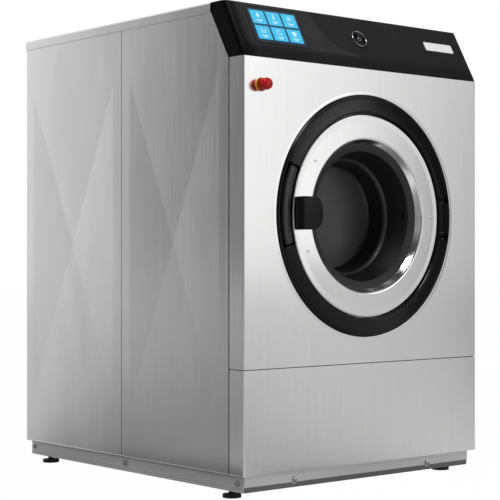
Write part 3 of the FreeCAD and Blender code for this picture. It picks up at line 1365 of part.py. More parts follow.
def suspension_springs():
    low = PANEL_BOTTOM + SPRING_WIRE + CURVED_GAP
    high = CRADLE_Z - CRADLE_PLATE - SPRING_WIRE - CURVED_GAP
    pitch = (high - low) / SPRING_TURNS
    helix = Part.makeHelix(pitch, high - low, SPRING_RADIUS)
    climb = math.atan2(pitch, 2 * math.pi * SPRING_RADIUS)
    along = V(0, math.cos(climb), math.sin(climb))
    section = Part.Wire(Part.makeCircle(SPRING_WIRE, V(SPRING_RADIUS, 0, 0), along))
    coil = Part.Wire(helix).makePipeShell([section], True, True)
    coils = []
    for x, y in spring_places():
        copy = coil.copy()
        copy.translate(V(x, y, low))
        coils.append(copy)
    print("least gap between spring turns", round(pitch * math.cos(climb) - 2 * SPRING_WIRE, 2))
    save("suspension_springs", *coils)


def dampers():
    low = PANEL_BOTTOM
    high = low + DAMPER_LENGTH
    bore = DAMPER_RADIUS - DAMPER_WALL
    rod_top = CRADLE_Z - CRADLE_PLATE
    cases = []
    rods = []
    for x, y in damper_places():
        case = rod_z(DAMPER_RADIUS, low, high, x, y)
        case = case.cut(rod_z(bore, low + DAMPER_WALL, high - DAMPER_WALL, x, y))
        cases.append(case.cut(rod_z(DAMPER_ROD_RADIUS + RUNNING_GAP, high - DAMPER_WALL, high, x, y)))
        piston_top = high - DAMPER_WALL - BOUNCE - 2 * SPRING_WIRE
        piston = rod_z(bore - SLIDE_GAP, piston_top - DAMPER_RADIUS, piston_top, x, y)
        rods.append(joined(rod_z(DAMPER_ROD_RADIUS, piston_top, rod_top, x, y), piston))
    save("damper_cylinders", *cases)
    save("damper_rods", *rods)


# Water and power
def ribbed_tube(x, y, low, high, inner):
    pitch = (high - low) / HOSE_RIBS
    outer = inner + HOSE_WALL
    profile = [(inner, low)]
    for step in range(HOSE_RIBS):
        start = low + pitch * step
        profile.append((outer, start))
        profile.append((outer + HOSE_RIB_HEIGHT, start + pitch * 0.35))
        profile.append((outer + HOSE_RIB_HEIGHT, start + pitch * 0.65))
    profile.append((outer, high))
    profile.append((inner, high))
    face = flat([V(x + r, y, z) for r, z in profile])
    return face.revolve(V(x, y, 0), Z_AXIS, 360)


def drain():
    half = VALVE_SIZE / 2
    spigot = SUMP_BOTTOM - VALVE_TOP
    shoulder = VALVE_TOP - spigot * 0.3
    body = box(DRAIN_X - half, DRAIN_X + half, DRAIN_Y - half, DRAIN_Y + half, PANEL_BOTTOM, shoulder)
    body = joined(body, rod_z(SUMP_RADIUS, shoulder, VALVE_TOP, DRAIN_X, DRAIN_Y))
    body = body.cut(rod_z(SUMP_RADIUS - TUB_WALL, DRAIN_Z, VALVE_TOP, DRAIN_X, DRAIN_Y))
    body = body.cut(rod_y(DRAIN_RADIUS - DRAIN_WALL, DRAIN_Y, DRAIN_Y + half, DRAIN_X, DRAIN_Z))
    bore = DRAIN_RADIUS - DRAIN_WALL
    pipe = tube_y(bore, DRAIN_RADIUS, DRAIN_Y + half, CABINET_DEPTH + DRAIN_REACH, DRAIN_X, DRAIN_Z)
    face = REAR_PANEL_Y + SHEET
    flange = tube_y(bore, DRAIN_RADIUS + PIPE_FLANGE, face, face + PIPE_FLANGE_THICKNESS, DRAIN_X, DRAIN_Z)
    save("drain_valve", body, joined(pipe, flange))
    low = VALVE_TOP - spigot * 0.25
    hose = ribbed_tube(DRAIN_X, DRAIN_Y, low, SUMP_BOTTOM + spigot * 0.25, SUMP_RADIUS + CURVED_GAP)
    save("drain_hose", hose)


def water_inlet():
    half = DISPENSER_WIDTH / 2
    low = DISPENSER_BOTTOM
    high = TOP_RAIL_BOTTOM
    case = box(DISPENSER_X - half, DISPENSER_X + half, DISPENSER_FRONT_Y, DISPENSER_BACK_Y, low, high)
    room = box(
        DISPENSER_X - half + CONSOLE_WALL,
        DISPENSER_X + half - CONSOLE_WALL,
        DISPENSER_FRONT_Y + CONSOLE_WALL,
        DISPENSER_BACK_Y - CONSOLE_WALL,
        low + CONSOLE_WALL,
        high - CONSOLE_WALL,
    )
    spout_low = low - FILL_RADIUS
    case = case.cut(room)
    case = joined(case, rod_z(FILL_RADIUS, spout_low, low + CONSOLE_WALL, DISPENSER_X, FILL_Y))
    case = case.cut(rod_z(FILL_RADIUS - CONSOLE_WALL, spout_low, low + CONSOLE_WALL, DISPENSER_X, FILL_Y))
    save("dispenser_box", case)
    hose = ribbed_tube(DISPENSER_X, FILL_Y, FILL_CROWN + CURVED_GAP, low, FILL_RADIUS + CURVED_GAP)
    save("fill_hose", hose)
    valves = []
    body = INLET_BODY / 2
    block_end = REAR_PANEL_Y - SHEET
    face = REAR_PANEL_Y + SHEET
    for x in inlet_columns():
        block = box(x - body, x + body, DISPENSER_BACK_Y, block_end, INLET_Z - body, INLET_Z + body)
        nipple = rod_y(INLET_RADIUS, block_end, CABINET_DEPTH + INLET_REACH, x, INLET_Z)
        flange = rod_y(INLET_RADIUS + PIPE_FLANGE, face, face + PIPE_FLANGE_THICKNESS, x, INLET_Z)
        bore = rod_y(INLET_RADIUS - INLET_WALL, block_end, CABINET_DEPTH + INLET_REACH, x, INLET_Z)
        valves.append(joined(block, nipple, flange).cut(bore))
    save("inlet_valves", *valves)


def power_box():
    half = INVERTER_WIDTH / 2
    top = PANEL_BOTTOM + INVERTER_HEIGHT
    case = box(INVERTER_X - half, INVERTER_X + half, INVERTER_Y, INVERTER_Y + INVERTER_DEPTH, PANEL_BOTTOM, top)
    fins = []
    margin = INVERTER_FIN_DEPTH
    for step in range(INVERTER_FINS):
        x = INVERTER_X - half + INVERTER_WIDTH * (step + 0.5) / INVERTER_FINS
        fin_y = INVERTER_Y - INVERTER_FIN_DEPTH
        fins.append(box(x - SHEET, x + SHEET, fin_y, INVERTER_Y, PANEL_BOTTOM + margin, top - margin))
    save("inverter_box", joined(case, *fins))
    nut_y = REAR_PANEL_Y + SHEET
    inside = REAR_PANEL_Y - GLAND_TAIL
    outside = CABINET_DEPTH + GLAND_REACH
    gland = joined(
        rod_y(GLAND_RADIUS, inside, outside, GLAND_X, GLAND_Z),
        rod_y(GLAND_NUT_RADIUS, nut_y, nut_y + GLAND_NUT_HEIGHT, GLAND_X, GLAND_Z),
    )
    gland = gland.cut(rod_y(GLAND_BORE, inside, outside, GLAND_X, GLAND_Z))
    save("cable_gland", gland)


os.makedirs("parts", exist_ok=True)
base_frame()
base_front_strip()
feet()
inner_frame()
front_frame_plate()
side_panels()
front_panel_upper()
front_panel_lower()
top_lid()
rear_panel()
console_shell()
touch_screen()
console_button()
emergency_stop()
door_collar()
door_ring()
door_back_ring()
door_seal()
door_glass()
door_handle()
door_grip_bar()
hinge()
latch_and_lock()
door_bellows()
tub()
counterweights()
bearing_parts()
drum()
drum_lifters()
drum_spider()
drum_pulley()
drive_belt()
motor()
tub_cradle()
suspension_springs()
dampers()
drain()
water_inlet()
power_box()
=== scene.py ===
"""Looks of a free-standing front-loading washer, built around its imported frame."""

import json
import logging
import math
from collections.abc import Iterable, Sequence
from dataclasses import dataclass
from enum import Enum

import bmesh
import bpy
from mathutils import Matrix, Vector

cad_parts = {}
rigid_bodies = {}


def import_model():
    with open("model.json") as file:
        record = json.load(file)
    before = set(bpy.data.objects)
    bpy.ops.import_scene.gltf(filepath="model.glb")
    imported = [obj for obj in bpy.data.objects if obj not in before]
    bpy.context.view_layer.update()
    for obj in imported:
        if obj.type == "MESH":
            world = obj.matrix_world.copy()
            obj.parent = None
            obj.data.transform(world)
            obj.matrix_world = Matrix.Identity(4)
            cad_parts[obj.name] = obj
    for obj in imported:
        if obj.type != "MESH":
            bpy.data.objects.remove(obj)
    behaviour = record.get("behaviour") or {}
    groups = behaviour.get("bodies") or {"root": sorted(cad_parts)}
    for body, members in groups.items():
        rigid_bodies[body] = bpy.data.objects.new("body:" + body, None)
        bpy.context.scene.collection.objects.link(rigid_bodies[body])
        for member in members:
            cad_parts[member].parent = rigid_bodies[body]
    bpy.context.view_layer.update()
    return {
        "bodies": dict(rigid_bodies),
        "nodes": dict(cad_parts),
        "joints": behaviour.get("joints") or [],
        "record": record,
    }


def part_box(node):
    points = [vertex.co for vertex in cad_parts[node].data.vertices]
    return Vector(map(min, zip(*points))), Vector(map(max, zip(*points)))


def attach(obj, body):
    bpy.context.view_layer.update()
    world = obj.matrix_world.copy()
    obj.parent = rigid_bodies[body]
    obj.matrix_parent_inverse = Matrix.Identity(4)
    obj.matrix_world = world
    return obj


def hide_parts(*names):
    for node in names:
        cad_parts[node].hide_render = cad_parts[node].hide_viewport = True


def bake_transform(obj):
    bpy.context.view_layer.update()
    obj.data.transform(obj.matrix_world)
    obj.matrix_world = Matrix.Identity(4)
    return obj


LOG = logging.getLogger("washer")

# Places shared by several sub-assemblies, in metres.
FRONT_Y = -0.51525
DOOR_Z = 0.7126
DOOR_CENTRE = Vector((0, FRONT_Y, DOOR_Z))
X_AXIS = Vector((1, 0, 0))
Y_AXIS = Vector((0, 1, 0))
Z_AXIS = Vector((0, 0, 1))

# Where the middle tones of a noise begin and end.
NOISE_SPAN = (0.3, 0.7)
# Pitch per metre, strength and depth of the grain in a sprayed coat.
COAT_GRAIN = (1500.0, 0.03, 0.0002)
BLACK = (0.0, 0.0, 0.0)

Pair = tuple[float, float]
Triple = tuple[float, float, float]
Colour = Triple
Outline = Sequence[Pair]
Levels = tuple[Pair, ...]
Socket = bpy.types.NodeSocket


def deep(depth: float) -> float:
    """Gives the y of a depth behind the face of the front panels."""
    return FRONT_Y + depth


def angles(start: float, end: float, count: int) -> list[float]:
    """Gives evenly spaced angles in radians, from one angle in degrees to another."""
    return [math.radians(start + (end - start) * index / (count - 1)) for index in range(count)]


def round_points(radius: float, start: float, end: float, count: int) -> list[Pair]:
    """Gives points on a circle, from one angle in degrees to another."""
    return [(math.cos(turn) * radius, math.sin(turn) * radius) for turn in angles(start, end, count)]


def facing(point: Vector, direction: Vector) -> Matrix:
    """Gives a frame at a point whose own Z axis runs along a direction.

    Args:
        point: Where the frame stands.
        direction: Where its Z axis goes.

    Returns:
        The frame as a matrix.
    """
    return Matrix.Translation(point) @ direction.to_track_quat("Z", "Y").to_matrix().to_4x4()


def out_of(place: Matrix) -> Vector:
    """Gives the direction of a frame's own Z axis."""
    return (place.to_3x3() @ Z_AXIS).normalized()


def outermost(mesh: bmesh.types.BMesh, out: Vector) -> bmesh.types.BMFace:
    """Gives the face of a mesh that lies farthest along a direction."""
    return max(mesh.faces, key=lambda face: face.calc_center_median().dot(out))


def verts_in(geometry: Iterable[object]) -> list[bmesh.types.BMVert]:
    """Gives the vertices among mixed geometry."""
    return [part for part in geometry if isinstance(part, bmesh.types.BMVert)]


def edges_in(geometry: Iterable[object]) -> list[bmesh.types.BMEdge]:
    """Gives the edges among mixed geometry."""
    return [part for part in geometry if isinstance(part, bmesh.types.BMEdge)]


def shaded(colour: Colour, share: float) -> Colour:
    """Gives a colour made darker or lighter by a share."""
    return tuple(min(1.0, part * share) for part in colour)


class Grain(Enum):
    """Ways that a brushed sheet's lines run."""

    UPRIGHT = "upright"
    ACROSS = "across"
    ROUND = "round"


class Nodes:
    """A node tree, with short calls for the nodes that finishes and light share."""

    def __init__(self, tree: bpy.types.NodeTree) -> None:
        """Wraps a tree.

        Args:
            tree: The node tree.
        """
        self.tree = tree

    def add(self, kind: str, **settings: object) -> bpy.types.Node:
        """Adds a node.

        Args:
            kind: The node's type, without its ShaderNode prefix.
            settings: Properties to set on it.

        Returns:
            The node.
        """
        node = self.tree.nodes.new("ShaderNode" + kind)
        for key, value in settings.items():
            setattr(node, key, value)
        return node

    def feed(self, socket: Socket, value: object) -> None:
        """Links a socket to an output, or sets it to a constant."""
        if isinstance(value, Socket):
            self.tree.links.new(value, socket)
        else:
            socket.default_value = value

    def split(self, vector: Socket) -> dict[str, Socket]:
        """Gives the three parts of a vector by name."""
        node = self.add("SeparateXYZ")
        self.feed(node.inputs[0], vector)
        return {name: node.outputs[name] for name in ("X", "Y", "Z")}

    def levels(self, value: Socket, stops: Levels) -> Socket:
        """Gives grey levels along a value between -1 and 1.

        Args:
            value: The value.
            stops: Places along it, each with its level.

        Returns:
            The level as a colour.
        """
        node = self.add("ValToRGB")
        ramp = node.color_ramp
        ramp.elements.remove(ramp.elements[1])
        for index, (place, level) in enumerate(stops):
            stop = ramp.elements.new((place + 1) / 2) if index else ramp.elements[0]
            stop.position = (place + 1) / 2
            stop.color = (level, level, level, 1)
        self.feed(node.inputs["Fac"], self.spread(value, -1.0, 1.0))
        return node.outputs["Color"]

    def place(self, scale: Sequence[float] = (1, 1, 1), shift: Sequence[float] = (0, 0, 0)) -> Socket:
        """Gives the piece's own coordinates, scaled and shifted.

        Args:
            scale: Pattern repeats per metre along each axis.
            shift: Added after the scale.

        Returns:
            The vector output.
        """
        mapping = self.add("Mapping")
        mapping.inputs["Scale"].default_value = scale
        mapping.inputs["Location"].default_value = shift
        self.feed(mapping.inputs["Vector"], self.add("TexCoord").outputs["Object"])
        return mapping.outputs["Vector"]

    def noise(self, vector: Socket, scale: float, detail: float = 2.0) -> Socket:
        """Gives soft noise on a vector."""
        node = self.add("TexNoise")
        node.inputs["Scale"].default_value = scale
        node.inputs["Detail"].default_value = detail
        self.feed(node.inputs["Vector"], vector)
        return node.outputs["Fac"]

    def math(self, operation: str, first: object, second: object = 0.0) -> Socket:
        """Gives the result of a sum on one or two values."""
        node = self.add("Math", operation=operation)
        self.feed(node.inputs[0], first)
        self.feed(node.inputs[1], second)
        return node.outputs[0]

    def reach(self, across: Socket, up: Socket) -> Socket:
        """Gives the distance that two offsets at right angles make."""
        squares = self.math("ADD", self.math("POWER", across, 2.0), self.math("POWER", up, 2.0))
        return self.math("SQRT", squares)

    def spread(self, value: Socket, start: float, end: float, low: float = 0.0, high: float = 1.0) -> Socket:
        """Maps a value from one span to another, held at both ends."""
        node = self.add("MapRange")
        for name, number in (("From Min", start), ("From Max", end), ("To Min", low), ("To Max", high)):
            node.inputs[name].default_value = number
        self.feed(node.inputs["Value"], value)
        return node.outputs["Result"]

    def vary(self, noise: Socket, low: float, high: float) -> Socket:
        """Maps the middle tones of a noise to a span."""
        return self.spread(noise, *NOISE_SPAN, low, high)

    def vary_about(self, noise: Socket, value: float, shares: Pair) -> Socket:
        """Maps the middle tones of a noise to a span between two shares of a value."""
        return self.vary(noise, *(value * share for share in shares))

    def mix(self, factor: object, first: object, second: object) -> Socket:
        """Mixes two colours.

        Args:
            factor: Share of the second colour.
            first: A colour or an output.
            second: A colour or an output.

        Returns:
            The mixed colour.
        """
        node = self.add("Mix", data_type="RGBA")
        for index, value in ((0, factor), (6, first), (7, second)):
            if isinstance(value, tuple) and len(value) == 3:
                value = (*value, 1.0)
            self.feed(node.inputs[index], value)
        return node.outputs[2]

    def mottled(self, noise: Socket, colour: Colour, dark: float, light: float) -> Socket:
        """Gives a colour that a noise moves between a darker and a lighter share of it."""
        return self.mix(self.vary(noise, 0.0, 1.0), shaded(colour, dark), shaded(colour, light))


class Graph(Nodes):
    """Node tree of one finish with its shader."""

    def __init__(self, name: str) -> None:
        """Starts a material.

        Args:
            name: The material's name.
        """
        self.material = bpy.data.materials.new(name)
        self.material.use_nodes = True
        super().__init__(self.material.node_tree)
        self.shader = self.tree.nodes["Principled BSDF"]

    def shade(self, **values: object) -> None:
        """Sets or links sockets of the shader, named in lower case with underscores."""
        names = {socket.name.lower().replace(" ", "_"): socket for socket in self.shader.inputs}
        for key, value in values.items():
            if isinstance(value, tuple) and len(value) == 3:
                value = (*value, 1.0)
            self.feed(names[key], value)

    def bump(self, height: Socket, strength: float, distance: float) -> None:
        """Gives the shader a relief from a height."""
        node = self.add("Bump")
        node.inputs["Strength"].default_value = strength
        node.inputs["Distance"].default_value = distance
        self.feed(node.inputs["Height"], height)
        self.shade(normal=node.outputs["Normal"])

    def grain(self, pitch: float, strength: float, depth: float) -> None:
        """Gives the shader a fine even grain, with its pitch per metre."""
        self.bump(self.noise(self.place((pitch,) * 3), 1.0), strength, depth)


@dataclass(frozen=True)
class Finish:
    """A finish that becomes a node material."""

    name: str

    def material(self) -> bpy.types.Material:
        """Builds the finish.

        Returns:
            The material.
        """
        graph = Graph(self.name)
        self.draw(graph)
        return graph.material

    def draw(self, graph: Graph) -> None:
        """Draws the finish's nodes."""
        raise NotImplementedError


@dataclass(frozen=True)
class BrushedMetal(Finish):
    """Metal with fine parallel or round brush lines."""

    colour: Colour
    roughness: float
    grain: Grain = Grain.UPRIGHT
    streak: float = 0.05
    stretch: float = 0.5
    cloud: float = 0.04
    relief: float = 0.05
    pitch: float = 700.0
    drawn: float = 5.0
    turned: float = 40.0
    cloud_pitch: Triple = (3.0, 3.0, 1.5)
    cloud_span: Pair = (0.35, 0.65)
    cloud_dark: float = 0.45
    line_span: Pair = (0.25, 0.75)
    line_depth: float = 0.0002
    rough_shares: Pair = (0.85, 1.2)

    def lines(self, graph: Graph) -> Socket:
        """Gives the vector along which the brush lines are drawn out."""
        if self.grain is Grain.UPRIGHT:
            return graph.place((self.pitch, self.pitch, self.drawn))
        if self.grain is Grain.ACROSS:
            return graph.place((self.drawn, self.pitch, self.pitch))
        parts = graph.split(graph.place(shift=(0, 0, -DOOR_Z)))
        joined = graph.add("CombineXYZ")
        graph.feed(joined.inputs["X"], graph.math("MULTIPLY", graph.reach(parts["X"], parts["Z"]), self.pitch))
        graph.feed(joined.inputs["Y"], graph.math("MULTIPLY", parts["Y"], self.turned))
        return joined.outputs[0]

    def draw(self, graph: Graph) -> None:
        """Draws the finish's nodes."""
        fine = graph.noise(self.lines(graph), 1.0, 3.0)
        cloud = graph.noise(graph.place(self.cloud_pitch), 2.0, 4.0)
        base = graph.mottled(fine, self.colour, 1 - self.streak, 1 + self.streak)
        dulled = graph.spread(cloud, *self.cloud_span, 0.0, self.cloud)
        tone = graph.mix(dulled, base, shaded(self.colour, self.cloud_dark))
        rough = graph.spread(fine, *self.line_span, *(self.roughness * share for share in self.rough_shares))
        graph.shade(base_color=tone, roughness=rough, metallic=1.0, anisotropic=self.stretch)
        graph.bump(fine, self.relief, self.line_depth)


@dataclass(frozen=True)
class CoatedSheet(Finish):
    """Satin coated steel sheet with faint cloudy mottling."""

    colour: Colour
    roughness: float = 0.42
    metallic: float = 0.6
    mottle: float = 0.06
    cloud_pitch: Triple = (9.0, 9.0, 4.0)
    streak_pitch: Triple = (260.0, 260.0, 3.0)
    streak: float = 0.25
    streak_share: float = 1.12
    rough_shares: Pair = (0.9, 1.1)

    def draw(self, graph: Graph) -> None:
        """Draws the finish's nodes."""
        cloud = graph.noise(graph.place(self.cloud_pitch), 1.0, 5.0)
        streaks = graph.noise(graph.place(self.streak_pitch), 1.0, 3.0)
        tone = graph.mottled(cloud, self.colour, 1 - self.mottle, 1 + self.mottle)
        tone = graph.mix(graph.vary(streaks, 0.0, self.streak), tone, shaded(self.colour, self.streak_share))
        rough = graph.vary_about(cloud, self.roughness, self.rough_shares)
        graph.shade(base_color=tone, roughness=rough, metallic=self.metallic)
        graph.grain(*COAT_GRAIN)


@dataclass(frozen=True)
class BaseCoat(Finish):
    """Coat of the base rails, with painted shade in a band under the casing, along a crease near the foot and over the
    set-back front rail.
    """

    colour: Colour
    shade_band_z: Pair = (0.0515, 0.0600)
    shade_band_share: float = 0.62
    crease_z: float = 0.0290
    crease_half: float = 0.0016
    crease_shade_share: float = 0.78
    front_depth: float = 0.0200
    front_fade: float = 0.05
    front_half: float = 0.4080
    front_edge: float = 0.0004
    front_shade_share: float = 0.24
    cloud_pitch: Triple = (9.0, 4.0, 9.0)
    mottle: Pair = (0.94, 1.06)
    roughness: Pair = (0.38, 0.46)
    metallic: float = 0.2

    def draw(self, graph: Graph) -> None:
        """Draws the finish's nodes."""
        parts = graph.split(graph.place())
        cloud = graph.noise(graph.place(self.cloud_pitch), 1.0, 5.0)
        tone = graph.mottled(cloud, self.colour, *self.mottle)
        # Painted shade in a band just under the casing's lower edge.
        band_shade = graph.spread(parts["Z"], *self.shade_band_z)
        tone = graph.mix(band_shade, tone, shaded(self.colour, self.shade_band_share))
        # Painted shade along the crease near the foot.
        away = graph.math("ABSOLUTE", graph.math("SUBTRACT", parts["Z"], self.crease_z))
        crease_shade = graph.spread(away, 0.0, self.crease_half, 1.0, 0.0)
        tone = graph.mix(crease_shade, tone, shaded(self.colour, self.crease_shade_share))
        # Painted shade over the front rail, which sits set back under the strip.
        aside = graph.math("ABSOLUTE", parts["X"])
        inside = graph.spread(aside, self.front_half - self.front_edge, self.front_half, 1.0, 0.0)
        ahead = graph.spread(parts["Y"], deep(self.front_depth), deep(self.front_depth + self.front_fade), 1.0, 0.0)
        tone = graph.mix(graph.math("MULTIPLY", inside, ahead), tone, shaded(self.colour, self.front_shade_share))
        graph.shade(base_color=tone, roughness=graph.vary(cloud, *self.roughness), metallic=self.metallic)
        graph.grain(*COAT_GRAIN)


@dataclass(frozen=True)
class Moulding(Finish):
    """Moulded plastic or rubber with a fine eroded grain."""

    colour: Colour
    roughness: float = 0.4
    relief: float = 0.15
    pitch: float = 2200.0
    depth: float = 0.0001
    sheen: float = 0.0
    specular: float = 0.5
    cloud_pitch: float = 14.0
    mottle: Pair = (0.85, 1.2)
    rough_shares: Pair = (0.9, 1.12)

    def draw(self, graph: Graph) -> None:
        """Draws the finish's nodes."""
        cloud = graph.noise(graph.place((self.cloud_pitch,) * 3), 1.0, 4.0)
        tone = graph.mottled(cloud, self.colour, *self.mottle)
        rough = graph.vary_about(cloud, self.roughness, self.rough_shares)
        graph.shade(base_color=tone, roughness=rough, sheen_weight=self.sheen, specular_ior_level=self.specular)
        graph.grain(self.pitch, self.relief, self.depth)


@dataclass(frozen=True)
class SmokedGlass(Finish):
    """Dark bowl glass with a frosted floor and step between its clear dark walls; the floor and step are partly painted
    light, lighter than the walls and brightest towards the right.
    """

    wall: Colour = (0.013, 0.013, 0.014)
    frost: Colour = (0.050, 0.050, 0.052)
    frost_lit: Colour = (0.084, 0.084, 0.086)
    painted_light_half: float = 0.13
    floor_depth: float = 0.1457
    floor_edge: float = 0.0003
    step_depths: Pair = (0.0808, 0.0872)
    step_edge: float = 0.0004
    haze_pitch: float = 8.0
    haze: float = 0.25
    roughness: float = 0.38
    rough_shares: Pair = (0.8, 1.2)
    clear: float = 0.12
    ior: float = 1.5

    def draw(self, graph: Graph) -> None:
        """Draws the finish's nodes."""
        haze = graph.noise(graph.place((self.haze_pitch,) * 3), 1.0, 4.0)
        parts = graph.split(graph.place())
        back = parts["Y"]
        floor = graph.spread(back, deep(self.floor_depth - self.floor_edge), deep(self.floor_depth + self.floor_edge))
        start, end = (deep(depth) for depth in self.step_depths)
        begun = graph.spread(back, start - self.step_edge, start + self.step_edge)
        over = graph.spread(back, end - self.step_edge, end + self.step_edge, 1.0, 0.0)
        # The floor and step tone, lighter than the walls, is partly painted light.
        frosted = graph.math("MAXIMUM", floor, graph.math("MULTIPLY", begun, over))
        # Painted light: that tone grows lighter towards the right.
        frost = graph.mix(graph.spread(parts["X"], -self.painted_light_half, self.painted_light_half), self.frost, self.frost_lit)
        tone = graph.mix(frosted, self.wall, frost)
        tone = graph.mix(graph.vary(haze, 0.0, self.haze), tone, BLACK)
        rough = graph.vary_about(haze, self.roughness, self.rough_shares)
        graph.shade(base_color=tone, roughness=rough, transmission_weight=self.clear, ior=self.ior)


@dataclass(frozen=True)
class LitTile(Finish):
    """Back-lit face of a screen tile, a little brighter towards its top."""

    colour: Colour
    glow: float
    foot_z: float = 1.14
    head_z: float = 1.23
    head_colour: Colour = (0.3, 0.8, 0.95)
    head_share: float = 0.08
    grid_pitch: float = 900.0
    mottle: Pair = (0.94, 1.05)
    roughness: float = 0.3

    def draw(self, graph: Graph) -> None:
        """Draws the finish's nodes."""
        grid = graph.noise(graph.place((self.grid_pitch,) * 3), 1.0)
        tone = graph.mottled(grid, self.colour, *self.mottle)
        height = graph.split(graph.place())["Z"]
        tone = graph.mix(graph.spread(height, self.foot_z, self.head_z, 0.0, self.head_share), tone, self.head_colour)
        graph.shade(base_color=BLACK, emission_color=tone, emission_strength=self.glow, roughness=self.roughness)


@dataclass(frozen=True)
class ConsoleSkin(Finish):
    """Console moulding, with a lighter field left of an arc on its face, painted shade on the lip below and painted
    shade towards its left end.
    """

    left: Colour
    right: Colour
    lip: Colour
    arc_x: float
    arc_rise: float
    arc_radius: float
    crease_z: float
    rise_share: float
    border: float
    end_x: float
    arc_edge: float = 0.0008
    arc_end: float = 0.002
    border_below: float = 0.003
    border_above: float = 0.002
    end_fade: float = 0.045
    end_shade_share: float = 0.02
    cloud_pitch: float = 12.0
    cloud: float = 0.2
    roughness: Pair = (0.44, 0.52)
    specular: float = 0.05
    pitch: float = 2400.0
    relief: float = 0.12
    depth: float = 0.0001

    def draw(self, graph: Graph) -> None:
        """Draws the finish's nodes."""
        parts = graph.split(graph.place())
        rise = graph.math("DIVIDE", graph.math("SUBTRACT", parts["Z"], self.crease_z), self.rise_share)
        across = graph.math("SUBTRACT", parts["X"], self.arc_x)
        up = graph.math("SUBTRACT", rise, self.arc_rise)
        past = graph.math("SUBTRACT", graph.reach(across, up), self.arc_radius)
        outside = graph.spread(past, -self.arc_edge, self.arc_edge)
        leftward = graph.spread(across, 0.0, self.arc_end, 1.0, 0.0)
        # The darker lip colour below the border is painted shade.
        above = graph.spread(rise, self.border - self.border_below, self.border + self.border_above)
        face = graph.mix(graph.math("MULTIPLY", outside, leftward), self.right, self.left)
        tone = graph.mix(above, self.lip, face)
        # Painted shade towards the console's left end.
        inward = graph.spread(parts["X"], self.end_x, self.end_x + self.end_fade)
        tone = graph.mix(inward, shaded(self.right, self.end_shade_share), tone)
        cloud = graph.noise(graph.place((self.cloud_pitch,) * 3), 1.0, 4.0)
        tone = graph.mix(graph.vary(cloud, 0.0, self.cloud), tone, BLACK)
        graph.shade(base_color=tone, roughness=graph.vary(cloud, *self.roughness), specular_ior_level=self.specular)
        graph.grain(self.pitch, self.relief, self.depth)


@dataclass(frozen=True)
class StopBase(Finish):
    """Yellow ring on the panel, with painted shade as a dark neck in front of it."""

    ring: Colour
    # Painted shade: the darker colour on the ring's front face, ahead of neck_y.
    neck: Colour
    neck_y: float
    edge: float = 0.0002
    cloud_pitch: float = 90.0
    mottle: Pair = (0.94, 1.06)
    roughness: Pair = (0.26, 0.34)
    pitch: float = 2200.0
    relief: float = 0.05
    depth: float = 0.0001

    def draw(self, graph: Graph) -> None:
        """Draws the finish's nodes."""
        back = graph.split(graph.place())["Y"]
        ahead = graph.spread(back, self.neck_y - self.edge, self.neck_y + self.edge, 1.0, 0.0)
        cloud = graph.noise(graph.place((self.cloud_pitch,) * 3), 1.0, 3.0)
        tone = graph.mottled(cloud, self.ring, *self.mottle)
        # The neck colour ahead of neck_y is painted shade on the yellow ring.
        graph.shade(base_color=graph.mix(ahead, tone, self.neck), roughness=graph.vary(cloud, *self.roughness))
        graph.grain(self.pitch, self.relief, self.depth)


